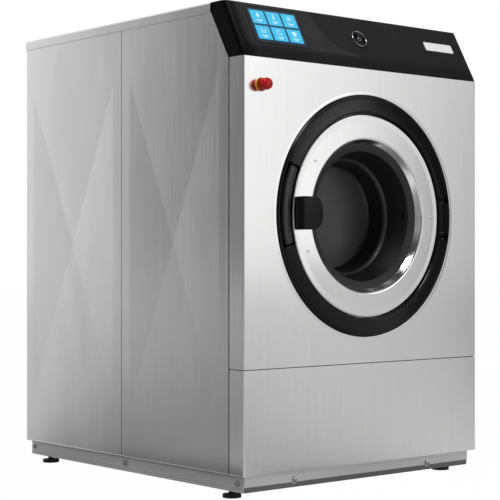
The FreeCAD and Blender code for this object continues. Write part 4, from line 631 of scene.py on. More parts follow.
class Piece:
    """A new piece, shaped in a bmesh with operators and then made an object."""

    # Shares of a fastener's head: taper, crown, socket radius and socket depth.
    head_taper: float = 0.9
    head_crown: float = 0.08
    socket_share: float = 0.5
    socket_sink: float = 0.6
    # Facets across a plate's rounded corner and rim.
    corner_facets: int = 5
    rim_facets: int = 3

    def __init__(self, name: str) -> None:
        """Starts an empty piece.

        Args:
            name: The piece's name.
        """
        self.name = name
        self.mesh = bmesh.new()

    def loop(self, points: Iterable[Vector], closed: bool = True) -> list[object]:
        """Draws edges through points in order.

        Args:
            points: The points.
            closed: Whether the last point joins the first.

        Returns:
            The vertices and then the edges.
        """
        verts = [self.mesh.verts.new(point) for point in points]
        ends = [*verts[1:], verts[0]] if closed else verts[1:]
        return verts + [self.mesh.edges.new(pair) for pair in zip(verts, ends)]

    def sweep(
        self, geometry: list[object], centre: Vector, axis: Vector, angle: float, facets: int, rise: float = 0.0,
        merge: bool = False,
    ) -> list[object]:
        """Spins vertices and edges about an axis.

        Args:
            geometry: The vertices and edges.
            centre: A point on the axis.
            axis: The axis.
            angle: The angle in radians.
            facets: Facets along the way.
            rise: Advance along the axis with each facet.
            merge: Whether the end meets the start.

        Returns:
            The vertices and edges at the end of the way.
        """
        return bmesh.ops.spin(
            self.mesh, geom=geometry, cent=centre, axis=axis, dvec=axis * rise, angle=angle, steps=facets,
            use_merge=merge, use_normal_flip=False, use_duplicate=False,
        )["geom_last"]

    def bevel(self, edges: Iterable[bmesh.types.BMEdge], offset: float, segments: int) -> list[bmesh.types.BMFace]:
        """Rounds edges and gives the faces that this makes."""
        return bmesh.ops.bevel(
            self.mesh, geom=list(edges), offset=offset, offset_type="OFFSET", segments=segments, profile=0.5,
            affect="EDGES", material=-1, clamp_overlap=True,
        )["faces"]

    def turn(self, outline: Outline, centre: Vector, axis: Vector, facets: int, closed: bool = True) -> None:
        """Turns an outline of (radius, height) points fully about an axis.

        Args:
            outline: The points in order.
            centre: A point on the axis, at height 0.
            axis: The axis, along which heights are counted.
            facets: Facets round the axis.
            closed: Whether the last point joins the first.
        """
        side = axis.orthogonal().normalized()
        drawn = self.loop((centre + side * radius + axis * height for radius, height in outline), closed)
        self.sweep(drawn, centre, axis, math.tau, facets, merge=True)
        self.weld()

    def arc(self, outline: Outline, centre: Vector, start: float, end: float, facets: int) -> None:
        """Turns an outline of (radius, depth) points part of the way about the Y axis and closes its ends.

        Args:
            outline: Points in order, of which the last joins the first.
            centre: A point on the axis, at depth 0.
            start: First angle in degrees, from the right over the top.
            end: Last angle in degrees.
            facets: Facets along the way.
        """
        turn = math.radians(start)
        side = Vector((math.cos(turn), 0, math.sin(turn)))
        drawn = self.loop(centre + side * radius + Y_AXIS * depth for radius, depth in outline)
        self.sweep(drawn, centre, -Y_AXIS, math.radians(end - start), facets)
        self.close_ends()

    def coil(self, centre: Vector, radius: float, wire: float, height: float, turns: int, facets: int = 28) -> None:
        """Winds a wire up the Z axis.

        Args:
            centre: The coil's foot.
            radius: From the axis to the middle of the wire.
            wire: The wire's radius.
            height: From the first to the last middle of the wire.
            turns: Full turns.
            facets: Facets in a turn.
        """
        frame = facing(centre + X_AXIS * radius, Y_AXIS)
        verts = bmesh.ops.create_circle(self.mesh, cap_ends=False, segments=10, radius=wire, matrix=frame)["verts"]
        edges = list({edge for vert in verts for edge in vert.link_edges})
        count = turns * facets
        self.sweep(verts + edges, centre, Z_AXIS, math.tau * turns, count, height / count)
        self.close_ends()

    def plate(
        self, place: Matrix, width: float, height: float, thickness: float, corner: float = 0.0, rim: float = 0.0,
    ) -> None:
        """Adds a flat plate that stands on a frame's XY plane.

        Args:
            place: The frame at the middle of its underside.
            width: Along the frame's X.
            height: Along the frame's Y.
            thickness: Along the frame's Z.
            corner: Radius of its upright corners.
            rim: Width of the rounded upper edge.
        """
        scale = Matrix.Diagonal((width, height, thickness, 1))
        lift = Matrix.Translation((0, 0, thickness / 2))
        made = bmesh.ops.create_cube(self.mesh, size=1, matrix=place @ lift @ scale)
        out = out_of(place)
        faces = {face for vert in made["verts"] for face in vert.link_faces}
        edges = {edge for face in faces for edge in face.edges}
        if corner:
            upright = [edge for edge in edges if abs((edge.verts[0].co - edge.verts[1].co).normalized().dot(out)) > 0.9]
            cut = self.bevel(upright, corner, self.corner_facets)
            faces = {face for face in faces | set(cut) if face.is_valid}
        if rim:
            top = max(faces, key=lambda face: face.normal.dot(out) * 10 + face.calc_center_median().dot(out))
            self.bevel(top.edges, rim, self.rim_facets)

    def polygon(self, place: Matrix, outline: Outline, thickness: float) -> None:
        """Adds a flat shape that stands on a frame's XY plane.

        Args:
            place: The frame.
            outline: Its corners in the frame's XY plane, in order.
            thickness: Along the frame's Z.
        """
        base = self.mesh.faces.new([self.mesh.verts.new(place @ Vector((x, y, 0))) for x, y in outline])
        out = out_of(place)
        base.normal_update()
        if base.normal.dot(out) > 0:
            base.normal_flip()
        lifted = verts_in(bmesh.ops.extrude_face_region(self.mesh, geom=[base], use_keep_orig=True)["geom"])
        bmesh.ops.translate(self.mesh, verts=lifted, vec=out * thickness)
        fresh = {face for vert in lifted for face in vert.link_faces}
        bmesh.ops.recalc_face_normals(self.mesh, faces=[base, *fresh])

    def disc(self, place: Matrix, radius: float, thickness: float, segments: int = 24) -> None:
        """Adds a flat disc that stands on a frame's XY plane."""
        lift = Matrix.Translation((0, 0, thickness / 2))
        bmesh.ops.create_cone(
            self.mesh, cap_ends=True, cap_tris=False, segments=segments, radius1=radius, radius2=radius,
            depth=thickness, matrix=place @ lift,
        )

    def fastener(self, place: Matrix, radius: float, height: float, sides: int = 24) -> None:
        """Adds a screw or bolt head with a socket.

        Args:
            place: The frame at the middle of its seat, with Z out of the surface.
            radius: The head's radius.
            height: The head's height.
            sides: Facets round the head.
        """
        lift = Matrix.Translation((0, 0, height / 2))
        made = bmesh.ops.create_cone(
            self.mesh, cap_ends=True, cap_tris=False, segments=sides, radius1=radius, radius2=radius * self.head_taper,
            depth=height, matrix=place @ lift,
        )
        out = out_of(place)
        faces = {face for vert in made["verts"] for face in vert.link_faces}
        for face in faces:
            face.normal_update()
        top = max(faces, key=lambda face: face.normal.dot(out))
        border = radius * self.head_taper * (1 - self.socket_share)
        bmesh.ops.inset_region(self.mesh, faces=[top], thickness=border, depth=height * self.head_crown)
        sunk = bmesh.ops.extrude_discrete_faces(self.mesh, faces=[top])["faces"][0]
        bmesh.ops.translate(self.mesh, verts=list(sunk.verts), vec=-out * height * self.socket_sink)

    def bolt(self, seat: Vector, out: Vector, washer: Pair, head: Pair) -> None:
        """Adds a washer on a surface and a bolt head on the washer.

        Args:
            seat: Where it sits.
            out: The direction out of the surface.
            washer: The washer's radius and thickness.
            head: The head's radius and height.
        """
        self.disc(facing(seat, out), *washer)
        self.fastener(facing(seat + out * washer[1], out), *head)

    def close_ends(self) -> None:
        """Fills the open ends of a sweep."""
        bmesh.ops.holes_fill(self.mesh, edges=[edge for edge in self.mesh.edges if edge.is_boundary])
        self.weld()

    def weld(self, gap: float = 1e-6) -> None:
        """Merges doubles and turns the faces outwards."""
        bmesh.ops.remove_doubles(self.mesh, verts=list(self.mesh.verts), dist=gap)
        bmesh.ops.recalc_face_normals(self.mesh, faces=list(self.mesh.faces))

    def soften(self, angle: float, offset: float, segments: int = 3) -> None:
        """Rounds the edges whose faces meet at more than an angle in degrees."""
        limit = math.radians(angle)
        sharp = [edge for edge in self.mesh.edges if len(edge.link_faces) == 2 and edge.calc_face_angle() > limit]
        self.bevel(sharp, offset, segments)

    def finish(
        self, finish: bpy.types.Material, slot: str, body: str = "", replaces: Iterable[str] = (), sharp: float = 32.0,
    ) -> bpy.types.Object:
        """Makes the object, dresses it and says what it rides on.

        Args:
            finish: Its material.
            slot: The record's material slot; not used.
            body: The body that it rides on, or none.
            replaces: The nodes that it stands for.
            sharp: Angle in degrees past which an edge stays sharp.

        Returns:
            The object.
        """
        data = bpy.data.meshes.new(self.name)
        self.mesh.to_mesh(data)
        self.mesh.free()
        data.materials.append(finish)
        data.shade_smooth()
        data.set_sharp_from_angle(angle=math.radians(sharp))
        made = bpy.data.objects.new(self.name, data)
        bpy.context.scene.collection.objects.link(made)
        if body:
            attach(made, body)
        if replaces:
            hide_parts(*replaces)
        LOG.info("piece %s: %d faces", self.name, len(data.polygons))
        return made


class Finishes:
    """The washer's finishes, each built once."""

    def __init__(self) -> None:
        """Builds every finish that the sub-assemblies share."""
        self.front = BrushedMetal("front_stainless", (0.76, 0.76, 0.757), 0.17, streak=0.035).material()
        self.ring = BrushedMetal("ring_stainless", (0.76, 0.76, 0.757), 0.13, streak=0.03, relief=0.012).material()
        self.side = BrushedMetal(
            "side_stainless", (0.7, 0.7, 0.702), 0.2, streak=0.03, stretch=0.0, cloud=0.14,
        ).material()
        # Both coats carry painted shade: a dark band under the casing, and on the base also a crease line and a dark
        # front rail.
        self.base = BaseCoat("base_coat", (0.93, 0.932, 0.935)).material()
        self.strip = BaseCoat(
            "strip_coat", (0.92, 0.92, 0.922), shade_band_z=(0.0440, 0.0600), shade_band_share=0.48, crease_shade_share=1.0,
            front_shade_share=1.0,
        ).material()
        self.galvanised = CoatedSheet("galvanised_frame", (0.5, 0.51, 0.52), 0.4, metallic=0.9, mottle=0.14).material()
        # The console's darker lip and darker left end are painted shade.
        self.console = ConsoleSkin(
            "console_skin", left=(0.033, 0.033, 0.034), right=(0.021, 0.021, 0.0215), lip=(0.017, 0.017, 0.0174),
            arc_x=-0.01575, arc_rise=0.1451, arc_radius=0.1292, crease_z=1.122, rise_share=0.8777, border=0.0115,
            end_x=-0.418,
        ).material()
        self.screen = Moulding("screen_glass", (0.006, 0.008, 0.014), 0.08, 0.0).material()
        self.tile = LitTile("screen_tile", (0.045, 0.53, 0.86), 1.0).material()
        self.ground = LitTile("screen_ground", (0.001, 0.035, 0.09), 1.0).material()
        self.icon = LitTile("screen_icon", (0.6, 0.88, 1.0), 1.0).material()
        self.button = Moulding("button_gloss", (0.001, 0.001, 0.0012), 0.06, 0.01, specular=0.2).material()
        self.trim = BrushedMetal("button_trim", (0.42, 0.42, 0.43), 0.16, Grain.ACROSS).material()
        self.mark = Moulding("button_mark", (0.3, 0.31, 0.36), 0.3, 0.02).material()
        self.bezel = Moulding("button_bezel", (0.012, 0.012, 0.013), 0.25, 0.02, specular=0.3).material()
        # The stop base's dark neck colour is painted shade.
        self.yellow = StopBase(
            "stop_yellow", ring=(1.0, 0.56, 0.04), neck=(0.42, 0.06, 0.01), neck_y=deep(-0.0026),
        ).material()
        self.red = Moulding("stop_red", (0.5, 0.006, 0.011), 0.3, 0.03, specular=0.25).material()
        self.stem = Moulding("stop_stem", (0.12, 0.004, 0.006), 0.35, 0.03).material()
        self.collar = Moulding("collar_black", (0.005, 0.005, 0.0052), 0.2, 0.05, specular=0.22).material()
        self.matt = Moulding("arm_black", (0.004, 0.004, 0.004), 0.7, 0.1, specular=0.15).material()
        self.block = Moulding("handle_black", (0.006, 0.006, 0.0065), 0.42, 0.12, specular=0.2).material()
        self.grip = Moulding("grip_black", (0.03, 0.03, 0.031), 0.3, 0.05, specular=0.4).material()
        self.rubber = Moulding("rubber_black", (0.016, 0.016, 0.017), 0.55, 0.2, sheen=0.05).material()
        self.bowl = SmokedGlass("bowl_smoked").material()
        # The step's tone, lighter than the bowl walls, is partly painted light.
        self.ridge = Moulding("bowl_step_frost", (0.05, 0.05, 0.052), 0.4, 0.02).material()
        self.plated = BrushedMetal("plated_steel", (0.62, 0.62, 0.63), 0.22, Grain.ACROSS).material()
        self.drum = BrushedMetal("drum_stainless", (0.66, 0.66, 0.66), 0.25, Grain.ROUND).material()
        self.tub = BrushedMetal("tub_stainless", (0.55, 0.55, 0.55), 0.35, Grain.ROUND).material()
        # Dark discs for the drum's holes: painted shade where the holes show the dark behind them.
        self.hole_shade = Moulding("wash_hole", (0.01, 0.01, 0.01), 0.6).material()
        self.cast = CoatedSheet("cast_iron", (0.09, 0.09, 0.1), 0.6, metallic=0.3, mottle=0.2).material()
        self.alloy = BrushedMetal("pulley_alloy", (0.62, 0.63, 0.64), 0.3, Grain.ROUND).material()
        self.motor = CoatedSheet("motor_paint", (0.06, 0.07, 0.09), 0.4, metallic=0.1, mottle=0.1).material()
        self.lock = Moulding("lock_case", (0.06, 0.06, 0.065), 0.45).material()
        self.grey = Moulding("plumbing_grey", (0.16, 0.165, 0.17), 0.45).material()
        self.pale = Moulding("valve_pale", (0.6, 0.6, 0.57), 0.45).material()
        self.plate = CoatedSheet("nameplate_satin", (0.9, 0.9, 0.9), 0.4, metallic=0.0, mottle=0.03).material()
        self.bolt = BrushedMetal("bolt_zinc", (0.7, 0.7, 0.7), 0.25, Grain.ACROSS).material()


@dataclass
class SubAssembly:
    """A group of pieces that is dressed and completed together."""

    nodes: dict[str, bpy.types.Object]
    finishes: Finishes

    def dress(self, finish: bpy.types.Material, *names: str) -> None:
        """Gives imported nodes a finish.

        Args:
            finish: The material.
            names: The nodes.
        """
        for name in names:
            self.nodes[name].data.materials.clear()
            self.nodes[name].data.materials.append(finish)
            LOG.info("node %s: %s", name, finish.name)

    def build(self) -> None:
        """Dresses the nodes and adds the new pieces."""
        raise NotImplementedError


@dataclass
class Cabinet(SubAssembly):
    """Base frame, feet, casing and inner frame."""

    half_width: float = 0.425
    rail_outer: float = 0.409
    seam_z: float = DOOR_Z - 0.387
    seam_depths: Pair = (0.004, 0.050)
    seam_thickness: float = 0.0018
    seam_corner: float = 0.003
    hem_z: float = 0.0646
    hem_height: float = 0.0022
    hem_proud: float = 0.0009
    hem_round_share: float = 0.9
    hem_depths: Pair = (0.003, 1.002)
    strip_face: float = 0.017
    strip_bolt_x: float = 0.244
    strip_bolt_z: float = 0.040
    rail_bolt_depths: tuple[float, ...] = (0.042, 0.524, 0.992)
    rail_bolt_z: float = 0.043
    rail_end_depths: Pair = (0.0208, 1.0032)
    rail_inside_x: Pair = (0.369, 0.406)
    rail_inside_z: Pair = (0.0235, 0.059)
    end_cap_sheet: float = 0.0012
    end_cap_corner: float = 0.002
    end_cap_rim: float = 0.0003
    bolt_washer: Pair = (0.00845, 0.0012)
    bolt_head: Pair = (0.0065, 0.004)
    rear_face: float = 1.005
    rear_washer: Pair = (0.007475, 0.0008)
    rear_head: Pair = (0.0052, 0.0026)
    rear_screw_x: float = 0.405
    rear_screw_rows: tuple[float, ...] = (0.085, 0.35, 0.64, 0.93, 1.19)
    lid_screw_columns: tuple[float, ...] = (-0.28, 0.0, 0.28)
    lid_screw_z: float = 1.2315
    lid_back: float = 1.0105
    louvre_x: float = 0.2125
    louvre_count: int = 7
    louvre_z: float = 0.420
    louvre_pitch: float = 0.022
    louvre_length: float = 0.240

    def build(self) -> None:
        """Dresses the cabinet and adds its bolts, caps, hems, seam strip, screws and louvre hoods."""
        look = self.finishes
        self.dress(look.base, "base_frame")
        self.dress(look.strip, "base_front_strip")
        self.dress(look.rubber, "foot_front_left", "foot_front_right", "foot_rear_left", "foot_rear_right")
        self.dress(look.galvanised, "inner_frame", "front_frame_plate")
        sides = [f"side_panel_{end}_{side}" for end in ("front", "rear") for side in ("left", "right")]
        self.dress(look.side, *sides, "top_lid", "rear_panel")
        self.dress(look.front, "front_panel_upper", "front_panel_lower")
        self.base_bolts()
        self.rail_end_caps()
        self.side_hems()
        self.seam_strip()
        self.rear_screws()
        self.louvre_hoods()

    def rail_end_caps(self) -> None:
        """Closes the open ends of the side rails with small plates between their flanges."""
        caps = Piece("rail_end_caps")
        (inner, outer), (bottom, top) = self.rail_inside_x, self.rail_inside_z
        for side in (-1, 1):
            for depth, out in zip(self.rail_end_depths, (-Y_AXIS, Y_AXIS)):
                seat = Vector((side * (inner + outer) / 2, deep(depth), (bottom + top) / 2))
                caps.plate(
                    facing(seat, out), outer - inner, top - bottom, self.end_cap_sheet, self.end_cap_corner,
                    self.end_cap_rim,
                )
        caps.finish(self.finishes.base, "base_sheet", "cabinet")

    def side_hems(self) -> None:
        """Rolls a slim hem along the lower edge of the side panels."""
        hems = Piece("side_hems")
        length = self.hem_depths[1] - self.hem_depths[0]
        for side in (-1, 1):
            seat = Vector((side * self.half_width, deep(sum(self.hem_depths) / 2), self.hem_z))
            place = facing(seat, X_AXIS * side)
            hems.plate(place, length, self.hem_height, self.hem_proud, rim=self.hem_proud * self.hem_round_share)
        hems.finish(self.finishes.front, "side_sheet", "cabinet")

    def seam_strip(self) -> None:
        """Lays a dark strip in the seam between the front panels, set back from their faces, as painted shade in the
        gap.
        """
        strip = Piece("front_seam_strip")
        start, end = self.seam_depths
        place = Matrix.Translation((0, deep((start + end) / 2), self.seam_z - self.seam_thickness / 2))
        width = (self.half_width - start / 2) * 2
        strip.plate(place, width, end - start, self.seam_thickness, self.seam_corner)
        strip.finish(self.finishes.rubber, "seal_rubber", "cabinet")

    def rear_screws(self) -> None:
        """Puts screw heads round the rear panel and along the lid's rear skirt."""
        screws = Piece("rear_screws")
        places = [(side * self.rear_screw_x, z, self.rear_face) for side in (-1, 1) for z in self.rear_screw_rows]
        places += [(x, self.rear_screw_rows[0], self.rear_face) for x in self.lid_screw_columns]
        places += [(x, self.lid_screw_z, self.lid_back) for x in self.lid_screw_columns]
        for x, z, depth in places:
            screws.bolt(Vector((x, deep(depth), z)), Y_AXIS, self.rear_washer, self.rear_head)
        screws.finish(self.finishes.bolt, "hinge_steel", "cabinet")

    def louvre_hoods(self) -> None:
        """Presses a hood over each louvre slot of the rear panel."""
        hoods = Piece("rear_louvre_hoods")
        outline = [
            (0.0, 0.0135), (0.0042, 0.0126), (0.0072, 0.0095), (0.0084, 0.0050), (0.0086, 0.0005), (0.0074, 0.0005),
            (0.0072, 0.0048), (0.0062, 0.0086), (0.0037, 0.0112), (0.0, 0.0121),
        ]
        turned = Matrix(((0, 0, 1, 0), (1, 0, 0, 0), (0, 1, 0, 0), (0, 0, 0, 1)))
        for side in (-1, 1):
            left = side * self.louvre_x - self.louvre_length / 2
            for step in range(self.louvre_count):
                start = Vector((left, deep(self.rear_face), self.louvre_z + self.louvre_pitch * step))
                hoods.polygon(Matrix.Translation(start) @ turned, outline, self.louvre_length)
        hoods.finish(self.finishes.side, "side_sheet", "cabinet", sharp=50.0)

    def base_bolts(self) -> None:
        """Puts bolt heads on the base strip's tabs and on the side rails."""
        bolts = Piece("base_bolts")
        for side in (-1, 1):
            seat = Vector((side * self.strip_bolt_x, deep(self.strip_face), self.strip_bolt_z))
            bolts.bolt(seat, -Y_AXIS, self.bolt_washer, self.bolt_head)
            for depth in self.rail_bolt_depths:
                seat = Vector((side * self.rail_outer, deep(depth), self.rail_bolt_z))
                bolts.bolt(seat, X_AXIS * side, self.bolt_washer, self.bolt_head)
        bolts.finish(self.finishes.bolt, "hinge_steel", "cabinet")


@dataclass
class Console(SubAssembly):
    """Sloped console with its screen, button and bare nameplate."""

    lip_lean: float = 0.005
    crease_z: float = 1.122
    tilt: float = math.atan2(0.119, 0.065)
    screen_x: float = -0.283
    screen_rise: float = 0.0735
    screen_proud: float = 0.001
    screen_width: float = 0.174
    screen_height: float = 0.108
    frame_border: float = 0.005
    frame_height: float = 0.0015
    frame_corner: float = 0.004
    frame_rim: float = 0.0006
    frame_wall: float = 0.0024
    tile_pitch_x: float = 0.0522
    tile_pitch_rise: float = 0.0473
    tile_gap: float = 0.0066
    tile_thickness: float = 0.0003
    tile_corner: float = 0.001
    ground_border: float = 0.002
    caption_bars: tuple[Triple, ...] = ((-0.0095, 0.45, 0.0024), (-0.0140, 0.28, 0.0018))
    caption_corner: float = 0.0006
    icon_rise: float = 0.0065
    ink: float = 0.0002
    plate_x: float = 0.317
    plate_rise: float = 0.0763
    plate_width: float = 0.110
    plate_height: float = 0.0273
    plate_sheet: float = 0.0016
    plate_corner: float = 0.002
    plate_rim: float = 0.0005
    plate_border: float = 0.0018
    plate_sink: float = 0.0004
    button_x: float = 0.005
    button_rise: float = 0.0695
    button_radius: float = 0.020
    button_dish: float = 0.0018
    button_foot: float = -0.0082
    trim_radius: float = 0.0240
    trim_wire: float = 0.0011
    trim_lift: float = 0.0025

    def on_face(self, x: float, rise: float, out: float) -> Matrix:
        """Gives a frame on the console's face, with X across, Y up the slope and Z out of it."""
        face = Matrix.Translation((0, deep(self.lip_lean), self.crease_z)) @ Matrix.Rotation(self.tilt, 4, "X")
        return face @ Matrix.Translation((x, rise, out))

    def build(self) -> None:
        """Dresses the console and adds the screen's frame and tiles, the button and the nameplate."""
        look = self.finishes
        self.dress(look.console, "console_shell")
        self.dress(look.screen, "touch_screen")
        self.dress(look.bezel, "button_bezel")
        self.dress(look.button, "start_button")
        self.screen_frame()
        self.screen_tiles()
        self.push_button()
        self.nameplate()

    def tile_places(self) -> list[Pair]:
        """Gives the middles of the six tiles, row by row from the top left."""
        return [
            (self.screen_x + column * self.tile_pitch_x, self.screen_rise + row * self.tile_pitch_rise)
            for row in (0.5, -0.5) for column in (-1, 0, 1)
        ]

    def screen_frame(self) -> None:
        """Rims the screen with a slim raised frame."""
        frame = Piece("screen_frame")
        place = self.on_face(self.screen_x, self.screen_rise, 0.0)
        width, height = self.screen_width + self.frame_border, self.screen_height + self.frame_border
        frame.plate(place, width, height, self.frame_height, self.frame_corner, self.frame_rim)
        out = out_of(place)
        top = outermost(frame.mesh, out)
        bmesh.ops.inset_region(frame.mesh, faces=[top], thickness=self.frame_wall, depth=0.0)
        low = outermost(frame.mesh, -out)
        bmesh.ops.delete(frame.mesh, geom=[top, low], context="FACES_ONLY")
        half_way = place.to_translation().dot(out) + self.frame_height / 2
        open_edges = [edge for edge in frame.mesh.edges if edge.is_boundary]
        inner = [edge for edge in open_edges if edge.verts[0].co.dot(out) > half_way]
        sunk = verts_in(bmesh.ops.extrude_edge_only(frame.mesh, edges=inner)["geom"])
        bmesh.ops.translate(frame.mesh, verts=sunk, vec=-out * self.frame_height)
        frame.weld()
        frame.finish(self.finishes.bezel, "bezel_grey", "cabinet")

    def screen_tiles(self) -> None:
        """Adds the lit tiles, and a plain icon with caption bars on each."""
        ground = Piece("screen_ground")
        middle = self.on_face(self.screen_x, self.screen_rise, self.screen_proud)
        across, up = self.tile_pitch_x * 3 + self.ground_border, self.tile_pitch_rise * 2 + self.ground_border
        ground.plate(middle, across, up, self.ink, self.tile_corner)
        ground.finish(self.finishes.ground, "screen_glass", "cabinet")
        tiles = Piece("screen_tiles")
        icons = Piece("screen_icons")
        drawings = (self.drop, self.thermometer, self.sun, self.basin, self.circling_arrow, self.shirt)
        width = self.tile_pitch_x - self.tile_gap
        height = self.tile_pitch_rise - self.tile_gap
        top = self.screen_proud + self.ink + self.tile_thickness
        for (x, rise), draw in zip(self.tile_places(), drawings):
            seat = self.on_face(x, rise, self.screen_proud + self.ink)
            tiles.plate(seat, width, height, self.tile_thickness, self.tile_corner)
            for lift, share, bar in self.caption_bars:
                icons.plate(self.on_face(x, rise + lift, top), width * share, bar, self.ink, self.caption_corner)
            draw(icons, self.on_face(x, rise + self.icon_rise, top))
        tiles.finish(self.finishes.tile, "screen_glass", "cabinet")
        icons.finish(self.finishes.icon, "screen_glass", "cabinet")

    def drop(self, icons: Piece, place: Matrix) -> None:
        """Draws a water drop."""
        round_part = [(across, height - 0.002) for across, height in round_points(0.0048, -200, 20, 14)]
        icons.polygon(place, [*round_part, (0.0, 0.0085)], self.ink)

    def thermometer(self, icons: Piece, place: Matrix) -> None:
        """Draws a thermometer."""
        icons.plate(place @ Matrix.Translation((0, 0.002, 0)), 0.0034, 0.013, self.ink, 0.0015)
        icons.disc(place @ Matrix.Translation((0, -0.0048, 0)), 0.0036, self.ink)

    def sun(self, icons: Piece, place: Matrix) -> None:
        """Draws a sun for drying."""
        icons.disc(place, 0.0036, self.ink)
        for turn in angles(0, 315, 8):
            ray = Matrix.Rotation(turn, 4, "Z") @ Matrix.Translation((0.0066, 0, 0))
            icons.plate(place @ ray, 0.0034, 0.0014, self.ink)

    def basin(self, icons: Piece, place: Matrix) -> None:
        """Draws a wash basin with a waterline."""
        outline = [(-0.0095, 0.005), (-0.0072, -0.0065), (0.0072, -0.0065), (0.0095, 0.005)]
        inside = [(0.0078, 0.0048), (0.0058, -0.0048), (-0.0058, -0.0048), (-0.0078, 0.0048)]
        icons.polygon(place, outline + inside, self.ink)
        places = (-0.006, -0.004, -0.002, 0.0, 0.002, 0.004, 0.006)
        wave = [(across, 0.0012 * math.sin(across * 1300)) for across in places]
        icons.polygon(place, wave + [(across, height + 0.0015) for across, height in reversed(wave)], self.ink)

    def circling_arrow(self, icons: Piece, place: Matrix) -> None:
        """Draws an arrow that runs round, for the spin."""
        icons.polygon(place, round_points(0.0072, 30, 310, 20) + round_points(0.0054, 310, 30, 20), self.ink)
        icons.polygon(place, [(0.0022, -0.0066), (0.0062, -0.0018), (0.0082, -0.0076)], self.ink)

    def shirt(self, icons: Piece, place: Matrix) -> None:
        """Draws a shirt."""
        half = [
            (0.002, 0.0066), (0.0048, 0.0066), (0.0092, 0.0022), (0.0068, -0.0002), (0.0048, 0.0014), (0.0048, -0.0072),
        ]
        icons.polygon(place, half + [(-x, y) for x, y in reversed(half)], self.ink)

    def nameplate(self) -> None:
        """Adds the bare plate at the right, sunk a little inside its border."""
        plate = Piece("console_nameplate")
        place = self.on_face(self.plate_x, self.plate_rise, 0.0)
        plate.plate(place, self.plate_width, self.plate_height, self.plate_sheet, self.plate_corner, self.plate_rim)
        face = outermost(plate.mesh, out_of(place))
        bmesh.ops.inset_region(plate.mesh, faces=[face], thickness=self.plate_border, depth=0.0)
        bmesh.ops.inset_region(plate.mesh, faces=[face], thickness=self.plate_sink, depth=-self.plate_sink)
        plate.finish(self.finishes.plate, "hinge_steel", "cabinet")

    def push_button(self) -> None:
        """Turns the dished button with its rounded rim, and marks it with a plain bar in an open ring."""
        place = self.on_face(self.button_x, self.button_rise, 0.0)
        middle, out = place.to_translation(), out_of(place)
        dish = [
            (0.0, self.button_dish), (0.45, 0.0019), (0.7, 0.0022), (0.84, 0.0027), (0.91, 0.003), (0.96, 0.0028),
            (0.99, 0.0021), (1.0, 0.0012), (1.0, self.button_foot), (0.0, self.button_foot),
        ]
        outline = [(self.button_radius * share, height) for share, height in dish]
        cap = Piece("start_button_cap")
        cap.turn(outline, middle, out, facets=64, closed=False)
        cap.finish(self.finishes.button, "button_black", "button", ["start_button"])
        trim = Piece("button_trim_ring")
        wire = round_points(self.trim_wire, 0, 330, 12)
        section = [(self.trim_radius + across, self.trim_lift + height) for across, height in wire]
        trim.turn(section, middle, out, facets=72)
        trim.finish(self.finishes.trim, "bezel_grey", "cabinet")
        mark = Piece("start_button_mark")
        seat = place @ Matrix.Translation((0, 0, self.button_dish))
        mark.polygon(seat, round_points(0.0062, 125, 415, 24) + round_points(0.0049, 415, 125, 24), self.ink)
        mark.plate(seat @ Matrix.Translation((0, 0.0042, 0)), 0.0014, 0.006, self.ink, 0.0005)
        mark.finish(self.finishes.mark, "button_black", "button")


@dataclass
class EmergencyStop(SubAssembly):
    """Red mushroom head on a yellow base."""

    def build(self) -> None:
        """Dresses the emergency stop."""
        look = self.finishes
        self.dress(look.yellow, "e_stop_base")
        self.dress(look.stem, "e_stop_stem")
        self.dress(look.red, "e_stop_head")


